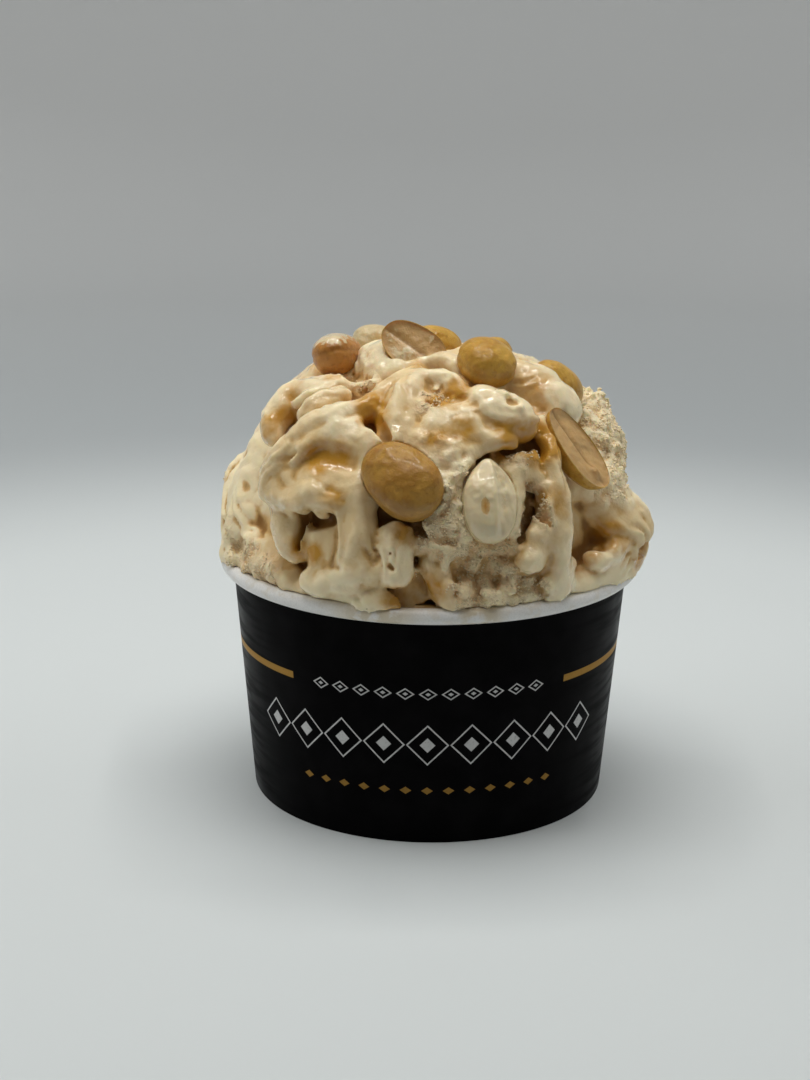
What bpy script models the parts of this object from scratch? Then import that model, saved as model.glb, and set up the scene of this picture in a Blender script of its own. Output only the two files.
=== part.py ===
"""Paper cup heaped with peanut gelato: the cup's wall and base, the gelato and the peanuts on it.

The origin is the centre of the ring that the cup stands on, +Z is up and the front faces -Y.
Lengths below are in millimetres and become metres where a mesh is made.
Azimuths are degrees round the cup, 0 at the front and 90 at the right (+X).
Elevations are degrees above the mound's centre, which lies on the cup's axis near the rim.
"""

import itertools
import math
from dataclasses import dataclass

import bmesh
import bpy
import numpy as np
from mathutils import Matrix, Vector

MM = 0.001

# Paper cup
RIM_RADIUS = 44.0
CUP_HEIGHT = 51.0
BASE_RADIUS = 37.2
BEAD_RADIUS = 1.6
PAPER = 0.5
BASE_RECESS = 5.6
HEM_HEIGHT = 5.0
HEM_SLOT = 1.0
SKIRT_PAPER = 0.4
CUP_SEGMENTS = 64
BEAD_STEPS = 9
BEAD_START = -130.0
BEAD_END = 180.0
WALL_BELOW_BEAD = 0.75
GAP = 0.3

BEAD_CENTRE_RADIUS = RIM_RADIUS - BEAD_RADIUS
BEAD_CENTRE_HEIGHT = CUP_HEIGHT - BEAD_RADIUS
WALL_TOP = BEAD_CENTRE_HEIGHT - WALL_BELOW_BEAD * BEAD_RADIUS
WALL_TOP_RADIUS = BEAD_CENTRE_RADIUS - BEAD_RADIUS + PAPER
BASE_TOP = BASE_RECESS + SKIRT_PAPER

# Gelato mound
MOUND_CENTRE = 50.0
MOUND_RADIUS = 41.0
MOUND_HEIGHT = 42.0
MOUND_SQUARENESS = 2.6
CORE_DEPTH = 3.0
CUP_CLEARANCE = 0.6
PEANUT_CLEARANCE = 0.55
GRID_STEP = 1.25
GRID_MARGIN = 4.0
PINCH_ROUNDS = 30
PINCH_DEPTH = 0.1
NOISE_ORIGIN = 60.0
GELATO_TRIANGLES = 8200
SPLINE_STEPS = 5
ROLL_SPREAD = 1.15
ROLL_BLEND = 0.35
UNEVENNESS = ((9.0, 0.7, 11), (5.0, 0.35, 12))
ROUGHNESS = ((3.4, 0.9, 21), )

# Peanuts
PEANUT_SEGMENTS = 16
PEANUT_RINGS = 9
PEANUT_SQUARENESS = 2.2
PEANUT_BLUNTNESS = 0.07
PEANUT_GROOVE = 0.05
GROOVE_REACH = 0.12
HALF_HOLLOW = 0.05
HALF_HOLLOW_RISE = 1.6
HALF_GERM_PLACE = 0.62
HALF_GERM_HEIGHT = 0.12
HALF_GERM_SPREAD = 0.03
HALF_GERM_RISE = 2.0


@dataclass(frozen=True)
class Fold:
    """A roll of gelato, or a groove in it, along a track on the mound.

    The track's stations are (azimuth, elevation, lift, size). For a roll the lift is its crest's
    height above the plain mound, for a groove its middle's height. Size scales both half measures.
    """

    name: str
    half_width: float
    half_height: float
    blend: float
    track: tuple


@dataclass(frozen=True)
class Peanut:
    """A kernel with its place on the mound, the way it lies and its three measures."""

    name: str
    azimuth: float
    elevation: float
    lift: float
    long_axis: tuple
    face_axis: tuple
    length: float
    width: float
    thickness: float
    half: bool
    colour: tuple


# Broad masses under the folds
MASSES = (
    Fold("left side", 7.0, 4.5, 3.0, (
        (-92, 34, 0.5, 0.8), (-86, 24, 1, 1), (-80, 15, 1.5, 1), (-77, 7, 2, 1),
    )),
    Fold("left fold", 7.5, 5.0, 1.6, (
        (-43.5, 37.5, 2.6, 0.8), (-35, 37, 3.2, 1), (-27.5, 37.5, 3, 1), (-21.5, 39.5, 2, 0.8),
    )),
    Fold("fold's slope", 5.0, 4.0, 2.0, (
        (-40, 43.5, 2.6, 1), (-30, 44.5, 2.4, 1), (-21.5, 45, 1.8, 0.8),
    )),
    Fold("middle", 9.0, 4.2, 3.0, (
        (6, 36, 2, 1), (7, 26.5, 2.4, 1), (11.5, 16.5, 2.4, 1),
    )),
    Fold("left back", 7.0, 5.0, 2.5, (
        (-112, 22, 2, 0.8), (-106, 14, 4.6, 1), (-100, 9, 4.6, 0.9),
    )),
    Fold("right back", 8.0, 6.0, 2.0, (
        (92, 42, 3, 1), (85, 38, 3, 1), (76, 31, 2, 0.9),
    )),
    Fold("right shoulder", 6.5, 6.0, 2.0, (
        (64, 27, 1.5, 0.8), (68, 20, 4, 1), (72, 13, 6.5, 1), (76, 9, 6, 0.9),
    )),
    Fold("right foot", 4.5, 4.0, 1.5, (
        (50, 2, 2, 0.8), (59, 4, 3, 1), (68, 4, 4, 1), (76, 4, 4, 0.9),
    )),
    Fold("crumbs at the right", 6.0, 4.0, 2.0, (
        (16, 6, 1.5, 1), (26, 5, 1.5, 1), (34, 5, 1, 0.8),
    )),
    Fold("crumbs at the left", 4.0, 3.5, 2.0, (
        (-62, 6, 1.5, 1), (-52, 5, 1.5, 1), (-43, 3, 1.5, 0.9),
    )),
    Fold("top left", 5.0, 4.0, 2.0, (
        (-80, 66, 1.5, 1), (-62, 64, 1.5, 1),
    )),
    Fold("shoulder block", 5.5, 4.5, 1.8, (
        (-84, 47, 1.6, 1), (-74, 52, 2.2, 1), (-64, 56, 1.8, 0.9),
    )),
    Fold("crown", 9.0, 5.0, 3.0, (
        (-120, 76, 1, 1), (150, 76, 1, 1), (80, 72, 1, 1),
    )),
    Fold("under the half", 4.0, 3.0, 1.5, (
        (46, 48, 0.5, 1), (50, 38, 0.5, 1), (54, 30, 0.5, 0.8),
    )),
    Fold("cavity's lump", 3.4, 3.6, 0.6, (
        (25.5, 38, 2.2, 0.9), (28, 36.5, 2.8, 1.05), (32.5, 36, 2.4, 0.9),
    )),
    Fold("lobe at the pit", 3.2, 3.2, 1.0, (
        (23, 26, 1.6, 1), (22, 21.5, 1.8, 1), (23.5, 17.5, 1.6, 0.8),
    )),
    Fold("fold's lower body", 5.0, 4.0, 1.6, (
        (-43.5, 29.5, 4, 0.9), (-37.5, 29.5, 4.2, 1), (-31.5, 29.5, 4, 1), (-26.5, 29.5, 3.4, 0.9),
    )),
    Fold("front arch's body", 6.0, 4.0, 2.5, (
        (-14.5, 57.5, 1.4, 1), (-14, 48.5, 1.8, 1), (-15, 42, 1.4, 0.9),
    )),
    Fold("basin under the arch", 6.5, 4.2, 2.4, (
        (2, 57, 2, 0.9), (-0.5, 50, 2.2, 1), (6, 51, 2.4, 1), (10.5, 47.5, 2, 1),
    )),
    Fold("bowl's lump", 3.6, 3.0, 1.0, (
        (-1.5, 7.5, 1.6, 0.9), (-5.5, 5.5, 1.4, 0.9),
    )),
    Fold("panel's floor", 4.4, 3.4, 1.6, (
        (-32, 23.5, 2.4, 1), (-30.5, 16.5, 2.4, 1), (-29.5, 10.5, 2.6, 0.9),
    )),
)

# Torn and crumbly places: azimuth, elevation, radius
ROUGH_PLACES = (
    (8, 40, 9), (10, 26, 12), (14, 12, 11), (26, 4, 10), (38, 40, 7), (4, 56, 6), (84, 40, 15),
    (66, 30, 8), (-36, 15, 6), (-50, 4, 9), (-68, 4, 9), (-72, 64, 6), (140, 30, 14), (-150, 42, 12),
    (170, 12, 12), (-110, 12, 9),
)

# Hollows torn out before the smooth rolls lie over them
HOLLOWS = (
    Fold("under the lip", 2.8, 3.8, 0.7, (
        (-51.5, 22, 1.6, 0.8), (-45, 21, 1, 1), (-39.5, 21.5, 0.6, 1), (-33, 22, 2.2, 1),
        (-29, 23, 2.2, 0.9),
    )),
    Fold("panel", 2.6, 1.6, 0.8, (
        (-30.5, 21.5, 3.4, 1), (-29.5, 17, 3.4, 1), (-28.5, 12, 3.6, 0.9),
    )),
    Fold("crease at the arch", 2.2, 3.6, 0.8, (
        (-26, 50.5, 1.6, 0.9), (-21, 48, 1.2, 1), (-16.5, 46, 0.8, 0.9),
    )),
    Fold("under the sheet", 3.4, 3.0, 0.9, (
        (15.5, 41, 0.6, 0.8), (9, 38.5, 0.6, 1), (2.5, 34, 0.8, 0.8),
    )),
    Fold("right of the knob", 3.6, 4.4, 0.7, (
        (28.5, 42.5, 1.6, 1), (35.5, 42, 1.4, 1), (37.5, 38.5, 1.4, 0.9),
    )),
    Fold("beside the ridge", 3.0, 3.8, 1.4, (
        (50.5, 29.5, 2.4, 0.7), (50, 23, 1.6, 0.9), (49, 17, 1.6, 0.9), (46, 12.5, 2, 0.7),
    )),
    Fold("shoulder hollow", 2.3, 3.6, 0.6, (
        (-68, 49.5, 3, 0.9), (-68, 46, 2.6, 1), (-64.5, 42.5, 2.2, 1), (-60, 40, 2, 0.8),
    )),
    Fold("upper pit", 3.6, 3.0, 0.6, (
        (14, 14.5, 2.2, 1), (20, 14.5, 2.2, 1),
    )),
    Fold("lower pit", 3.8, 2.8, 0.6, (
        (10.5, 11, 2.2, 1), (16.5, 10, 2.2, 0.9),
    )),
    Fold("side pit", 1.8, 3.6, 0.4, (
        (26.5, 17.5, 0.5, 1),
    )),
    Fold("bowl at the rim", 5.0, 4.0, 1.0, (
        (-2.5, 7, 2.6, 1), (-8, 4.5, 2.6, 0.8),
    )),
    Fold("under the front peanut", 3.0, 4.6, 0.6, (
        (-13, 23.5, 0.4, 0.9), (-8.5, 22.5, 0.2, 1), (-3.5, 22.5, 0.4, 0.9),
    )),
    Fold("behind the drip", 3.0, 3.6, 0.7, (
        (-14, 13, 0.8, 1), (-13, 8, 1, 0.9),
    )),
    Fold("top hollow", 3.4, 3.0, 0.9, (
        (-62, 66, 1.6, 1), (-48, 67, 1.2, 0.9),
    )),
    Fold("behind the ribbon", 2.2, 2.6, 0.7, (
        (-34, 64, 1.4, 1), (-22, 67, 1.4, 1),
    )),
    Fold("fold's valley", 2.6, 2.2, 1.2, (
        (-40, 35, 4.6, 0.8), (-34.5, 36.5, 4.2, 1), (-28.5, 36.5, 3.8, 1), (-23.5, 36, 3.4, 0.9),
    )),
)

# Smooth rolls, ribbons and drips
ROLLS = (
    Fold("shoulder arch", 2.4, 3.0, 0.8, (
        (-57, 56, 2.4, 0.8), (-65, 54, 3.2, 1), (-69.5, 50.5, 3.8, 1), (-69, 46, 4.2, 1.05),
        (-67, 42, 4.2, 1.05), (-64.5, 39, 3.2, 0.9),
    )),
    Fold("tongue", 2.0, 2.4, 0.5, (
        (-45.5, 56, 2, 0.8), (-47.5, 52.5, 3, 0.95), (-49, 48.5, 3.8, 1.05), (-50.5, 46.5, 3.8, 1),
    )),
    Fold("long ribbon", 2.3, 2.8, 0.8, (
        (-11.5, 68.5, 2.5, 0.9), (-18, 62.5, 2.6, 0.9), (-23.5, 57.5, 3, 1), (-26.5, 52.5, 3.6, 1),
        (-33.5, 48, 4.4, 1.05), (-40, 45, 5, 1.05), (-43, 42, 5.6, 1), (-45.5, 38, 5.8, 1),
        (-47.5, 34, 6, 1), (-49, 29.5, 5.6, 1), (-49, 26.5, 4.8, 0.9),
    )),
    Fold("ribbon's second lap", 1.5, 1.7, 0.7, (
        (-27, 46.5, 3.2, 0.8), (-33, 43.5, 4.2, 1), (-37.5, 40.5, 4.8, 1), (-40, 37, 5.2, 1),
        (-41.5, 34, 5.2, 0.8),
    )),
    Fold("left lip", 2.0, 2.4, 0.7, (
        (-49, 26, 5, 0.9), (-45.5, 25, 5.2, 1.05), (-42.5, 25, 5, 0.8), (-38, 25, 5.2, 1.05),
        (-35.5, 26, 4.8, 0.85), (-33, 27, 4.8, 1.1), (-30, 27, 4.2, 0.9), (-26.5, 26, 3.8, 0.9),
    )),
    Fold("lobe under the lip", 3.6, 3.8, 1.0, (
        (-44, 23.5, 3.2, 1), (-42, 19, 3.8, 1.05), (-40.5, 15, 3.6, 0.95), (-39.5, 12, 2.8, 0.6),
    )),
    Fold("leg", 3.4, 3.4, 0.9, (
        (-21, 32, 2.6, 1.1), (-21, 27.5, 3, 1.05), (-20.5, 22.5, 3, 1), (-20, 17, 3.2, 1),
        (-19.5, 11, 3.8, 1.1),
    )),
    Fold("foot", 2.2, 2.8, 0.8, (
        (-33.5, 5.5, 3.4, 0.95), (-30, 5, 3.6, 1), (-25, 6.5, 3.8, 1.15), (-21, 8, 4, 1.4),
        (-17.5, 8.5, 3.6, 1.2), (-15, 10.5, 2.8, 0.9),
    )),
    Fold("front drip", 2.9, 2.4, 0.6, (
        (-11.5, 18.5, 2.4, 0.8), (-8.5, 19, 3.2, 1), (-8, 15, 3.7, 1), (-8.5, 10.5, 4, 1),
    )),
    Fold("drip's root", 1.9, 2.4, 0.6, (
        (-15, 10, 2.8, 1), (-11.5, 9.5, 2.8, 1), (-9, 9.5, 3.2, 1),
    )),
    Fold("arch leg", 2.9, 3.4, 1.0, (
        (-4.5, 65.5, 3, 0.8), (-11, 59, 4, 1), (-13, 54.5, 4.2, 1), (-12.5, 50, 3.8, 1.05),
        (-12.5, 46, 3.2, 1.05), (-13.5, 43, 2.2, 0.8),
    )),
    Fold("front arch", 2.1, 3.0, 0.6, (
        (-6.5, 64, 3.4, 1), (2, 63.5, 4.2, 1), (9, 62, 4.4, 1), (13, 58.5, 4, 0.95), (16.5, 56, 3, 0.7),
    )),
    Fold("rear ribbon", 2.5, 3.0, 0.6, (
        (-14, 71, 2.5, 0.8), (-4, 74, 3, 1), (10, 74, 3.8, 1), (20, 70, 3.8, 1), (27, 66, 3.2, 1),
        (38, 62, 2.6, 0.8),
    )),
    Fold("sheet", 5.2, 2.4, 1.8, (
        (22.5, 45.5, 4.2, 0.8), (15, 47, 3.8, 1), (8, 45.5, 3.4, 1.1), (2.5, 41, 3, 1.1),
        (-0.5, 37, 2.6, 1), (-2, 34, 1.8, 0.8),
    )),
    Fold("sheet's lower edge", 1.3, 1.7, 0.6, (
        (26, 42, 4, 1), (21, 41.5, 4, 1.1), (17.5, 43.5, 3.8, 1), (13, 43.5, 3.6, 1),
        (8.5, 42.5, 3.2, 1), (5.5, 40, 2.4, 0.7),
    )),
    Fold("knob", 3.6, 4.4, 0.4, (
        (21.5, 53.5, 5.6, 0.9), (24.5, 50.5, 7, 1.05), (28.5, 47.5, 7.4, 1.1), (31.5, 46, 6.8, 0.85),
    )),
    Fold("coated lobe", 4.9, 5.2, 0.9, (
        (50, 62, 4.5, 0.9), (55, 57, 5.5, 1), (57, 51, 5.5, 1), (54, 47, 3.5, 0.6),
    )),
    Fold("left tooth", 1.3, 1.9, 0.4, (
        (25, 35, 3.2, 1), (25, 32, 3, 0.8),
    )),
    Fold("right tooth", 1.5, 2.0, 0.4, (
        (30.5, 34.5, 3.2, 1), (32, 31.5, 3, 0.8),
    )),
    Fold("long ridge", 2.9, 3.8, 0.8, (
        (40, 46.5, 3.2, 0.5), (40.5, 43, 3.6, 0.55), (39.5, 38.5, 4, 0.6), (37.5, 34, 4, 0.7),
        (37, 28.5, 4.2, 0.85), (36.5, 23, 4.4, 1), (36, 16.5, 4.4, 1.05), (35.5, 10.5, 4, 1.05),
        (35, 4.5, 3.4, 0.95),
    )),
    Fold("round drip", 3.1, 3.4, 0.5, (
        (28.5, 13, 4.2, 1), (31.5, 15, 3.4, 0.7),
    )),
    Fold("flap", 2.8, 1.8, 0.6, (
        (38, 9, 3, 1), (37, 4, 3, 1), (35, 1.5, 2.8, 0.8),
    )),
    Fold("lobe by the bowl", 2.4, 3.0, 0.7, (
        (-0.5, 13.5, 1.6, 0.8), (2, 10.5, 2.2, 1), (3.5, 7, 2.4, 1), (4, 4.5, 2.4, 0.9),
    )),
    Fold("film on the rim", 2.6, 1.2, 0.5, (
        (-16, 2.5, 2.8, 0.9), (-13, 2.5, 3, 1), (-9.5, 2, 2.6, 0.8),
    )),
    Fold("top lump", 4.8, 5.5, 1.0, (
        (-78, 73, 3.5, 1), (-56, 76, 5, 1), (-34, 71, 3, 0.8),
    )),
    Fold("right wrinkle", 1.6, 2.0, 0.6, (
        (50, 9, 3, 1), (56, 8, 3.6, 1), (62, 10, 4, 0.9),
    )),
    Fold("coated's flank", 2.8, 2.2, 0.5, (
        (21.5, 33.5, 3, 0.6), (22.5, 30, 3.2, 1), (22, 26, 3, 1), (20, 22, 2.6, 0.8),
    )),
    Fold("ridge's lobe", 1.9, 2.4, 0.7, (
        (33, 21.5, 3.6, 1), (30.5, 18.5, 3.6, 1), (32.5, 15.5, 3.4, 0.8),
    )),
)

# Cuts that go through the rolls too
NOTCHES = (
    Fold("bulge's hollow", 2.2, 2.4, 0.7, (
        (76, 7, 5.5, 1), (70, 7, 4.5, 0.8),
    )),
    Fold("arch crease", 1.5, 2.2, 0.7, (
        (-24, 50, 3, 0.5), (-20, 47.5, 2.6, 0.9), (-16.5, 45, 2.2, 1), (-14, 43, 2, 0.8),
    )),
)

# Folds at the back, laid by a rule: azimuths, and the ranges that each measure is drawn from
BACK_FOLDS = 9
BACK_FROM = 104.0
BACK_TO = 262.0
BACK_SEED = 7
BACK_STATIONS = 5
BACK_DRIFT = 22.0
BACK_WANDER = 3.0
BACK_HIGH = (52.0, 74.0)
BACK_LOW = (6.0, 26.0)
BACK_CREST = (1.4, 2.8)
BACK_WIDTH = (2.6, 5.0)
BACK_HEIGHT = 3.4
BACK_BLEND = 0.9

# Edge that lies on the rim, left out where the bowl opens
EDGE_STEP = 12
EDGE_BARE = (-8, 4)
EDGE_ELEVATION = 3.0
EDGE_CREST = (1.9, 2.8)
EDGE_WIDTH = 2.4
EDGE_HEIGHT = 2.6
EDGE_BLEND = 1.4

BLACK = (0.01, 0.01, 0.012)
WHITE = (0.8, 0.8, 0.78)
WHEAT = (0.60, 0.36, 0.12)
BROWN = (0.42, 0.20, 0.07)
PALE = (0.66, 0.52, 0.27)
CREAM = (0.72, 0.60, 0.42)

PEANUTS = (
    Peanut(
        "peanut_front", -8, 33, 2.2,
        (0.73, -0.44, -0.52), (-0.12, -0.83, 0.54), 17.6, 13.2, 9.6, False, WHEAT,
    ),
    Peanut(
        "peanut_top_left", -80, 65, 2.8,
        (0.35, 0.90, -0.25), (-0.3, 0.1, 0.95), 13.5, 9.4, 9.0, False, BROWN,
    ),
    Peanut(
        "peanut_half_top", -18, 75.5, 4.4,
        (0.80, -0.25, -0.50), (0.05, -0.84, 0.50), 14.4, 9.9, 5.2, True, WHEAT,
    ),
    Peanut(
        "peanut_behind_half", 165, 87, 1.4,
        (0.80, 0.35, -0.35), (0.1, 0.2, 0.97), 11.6, 9.0, 8.4, False, WHEAT,
    ),
    Peanut(
        "peanut_round", 31, 65, 4.8,
        (0.45, -0.82, -0.35), (0.2, -0.3, 0.93), 12.4, 11.4, 8.8, False, WHEAT,
    ),
    Peanut(
        "peanut_rear_right", 72, 55, 1.2,
        (0.60, 0.50, -0.62), (0.4, -0.1, 0.9), 13.0, 9.4, 8.6, False, WHEAT,
    ),
    Peanut(
        "peanut_half_right", 49, 37, 3.6,
        (0.58, -0.24, -0.78), (0.70, -0.54, 0.52), 18.6, 9.8, 5.2, True, WHEAT,
    ),
    Peanut(
        "peanut_coated", 16, 28, 2.4,
        (0.05, -0.44, -0.90), (0.25, -0.85, 0.45), 16.5, 10.8, 7.5, False, CREAM,
    ),
    Peanut(
        "peanut_pale", -140, 68, 1.2,
        (0.8, 0.3, -0.3), (-0.2, 0.1, 0.97), 13.0, 9.0, 8.0, False, PALE,
    ),
    Peanut(
        "peanut_back_high", 160, 47, 2.4,
        (0.7, 0.5, 0.3), (0.1, 0.6, 0.8), 15.0, 10.0, 8.6, False, WHEAT,
    ),
    Peanut(
        "peanut_back_low", -158, 34, 2.0,
        (0.6, -0.2, 0.75), (-0.3, 0.85, 0.45), 16.0, 10.6, 8.8, False, WHEAT,
    ),
)


def clear_scene():
    """Remove every object of the scene."""
    for thing in list(bpy.data.objects):
        bpy.data.objects.remove(thing, do_unlink=True)


def finish(name, colour, roughness):
    """Return a plain material for one sub-part."""
    material = bpy.data.materials.new(name)
    material.use_nodes = True
    surface = material.node_tree.nodes["Principled BSDF"]
    surface.inputs["Base Color"].default_value = (*colour, 1.0)
    surface.inputs["Roughness"].default_value = roughness
    surface.inputs["Metallic"].default_value = 0.0
    return material


def add_object(name, mesh, material):
    """Put a mesh into the scene as a named object."""
    thing = bpy.data.objects.new(name, mesh)
    bpy.context.collection.objects.link(thing)
    mesh.materials.append(material)
    return thing


def turned(name, profile, segments):
    """Return the mesh of a closed (radius, height) profile turned round the cup's axis."""
    mesh = bpy.data.meshes.new(name)
    shape = bmesh.new()
    rings = []
    for step in range(segments):
        angle = math.tau * step / segments
        ring = [
            shape.verts.new((radius * math.sin(angle) * MM, -radius * math.cos(angle) * MM, height * MM))
            for radius, height in profile
        ]
        rings.append(ring)
    count = len(profile)
    for step in range(segments):
        here, there = rings[step], rings[(step + 1) % segments]
        for place in range(count):
            after = (place + 1) % count
            shape.faces.new((here[place], there[place], there[after], here[after]))
    bmesh.ops.recalc_face_normals(shape, faces=shape.faces)
    bmesh.ops.triangulate(shape, faces=shape.faces)
    shape.to_mesh(mesh)
    shape.free()
    mesh.shade_smooth()
    mesh.set_sharp_from_angle(angle=math.radians(35.0))
    return mesh


def wall_outside(height):
    """Return the wall's outer radius at a height."""
    return BASE_RADIUS + (WALL_TOP_RADIUS - BASE_RADIUS) * height / WALL_TOP


def wall_profile():
    """Return the section of the wall: tapered side, rolled rim and the hem folded up inside its foot."""
    profile = [(wall_outside(0.0), 0.0), (WALL_TOP_RADIUS, WALL_TOP)]
    start, end = math.radians(BEAD_START), math.radians(BEAD_END)
    for step in range(BEAD_STEPS):
        angle = start + (end - start) * step / (BEAD_STEPS - 1)
        profile.append((
            BEAD_CENTRE_RADIUS + BEAD_RADIUS * math.cos(angle),
            BEAD_CENTRE_HEIGHT + BEAD_RADIUS * math.sin(angle),
        ))
    slot_outside = wall_outside(PAPER) - PAPER
    profile.append((slot_outside, PAPER))
    profile.append((slot_outside - HEM_SLOT, PAPER))
    hem_lean = wall_outside(HEM_HEIGHT) - wall_outside(PAPER)
    profile.append((slot_outside - HEM_SLOT + hem_lean, HEM_HEIGHT))
    profile.append((slot_outside - HEM_SLOT + hem_lean - PAPER, HEM_HEIGHT))
    profile.append((slot_outside - HEM_SLOT - PAPER, 0.0))
    return profile


def base_profile():
    """Return the section of the base: a disc with a skirt that stands in the hem's slot."""
    foot = PAPER + GAP
    outside_low = wall_outside(foot) - PAPER - GAP
    outside_high = wall_outside(BASE_TOP) - PAPER - GAP
    inside_low = outside_low - SKIRT_PAPER
    inside_high = inside_low + wall_outside(BASE_RECESS) - wall_outside(foot)
    return [
        (outside_low, foot), (outside_high, BASE_TOP), (0.0, BASE_TOP), (0.0, BASE_RECESS),
        (inside_high, BASE_RECESS), (inside_low, foot),
    ]


def disc_with_skirt(name, profile, segments):
    """Return the mesh of a profile that touches the axis, with its two middle points made whole."""
    mesh = turned(name, profile, segments)
    shape = bmesh.new()
    shape.from_mesh(mesh)
    bmesh.ops.remove_doubles(shape, verts=shape.verts, dist=0.00005)
    shape.to_mesh(mesh)
    shape.free()
    return mesh


def outward(azimuth, elevation):
    """Return the unit vector that points from the mound's centre."""
    around, above = math.radians(azimuth), math.radians(elevation)
    return np.array([
        math.cos(above) * math.sin(around),
        -math.cos(above) * math.cos(around),
        math.sin(above),
    ])


def on_mound(azimuth, elevation, lift):
    """Return the point at a lift above the plain mound."""
    above = math.radians(elevation)
    across = (abs(math.cos(above)) / MOUND_RADIUS) ** MOUND_SQUARENESS
    upward = (abs(math.sin(above)) / MOUND_HEIGHT) ** MOUND_SQUARENESS
    reach = (across + upward) ** (-1.0 / MOUND_SQUARENESS)
    return np.array([0.0, 0.0, MOUND_CENTRE]) + outward(azimuth, elevation) * (reach + lift)


def smooth_lower(first, second, blend):
    """Return the lesser of two distances, rounded over where they meet."""
    overlap = np.maximum(blend - np.abs(first - second), 0.0) / blend
    return np.minimum(first, second) - overlap * overlap * blend * 0.25


def spline(stations, steps):
    """Return points on a smooth curve through the stations, one station per row."""
    stations = np.array(stations, dtype=float)
    if len(stations) == 1:
        return stations
    padded = np.vstack([2 * stations[0] - stations[1], stations, 2 * stations[-1] - stations[-2]])
    points = []
    for place in range(1, len(padded) - 2):
        before, start, end, after = padded[place - 1:place + 3]
        for step in range(steps):
            t = step / steps
            points.append(0.5 * (
                2 * start + (end - before) * t + (2 * before - 5 * start + 4 * end - after) * t ** 2
                + (3 * start - before - 3 * end + after) * t ** 3
            ))
    points.append(padded[-2])
    return np.array(points)


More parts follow.
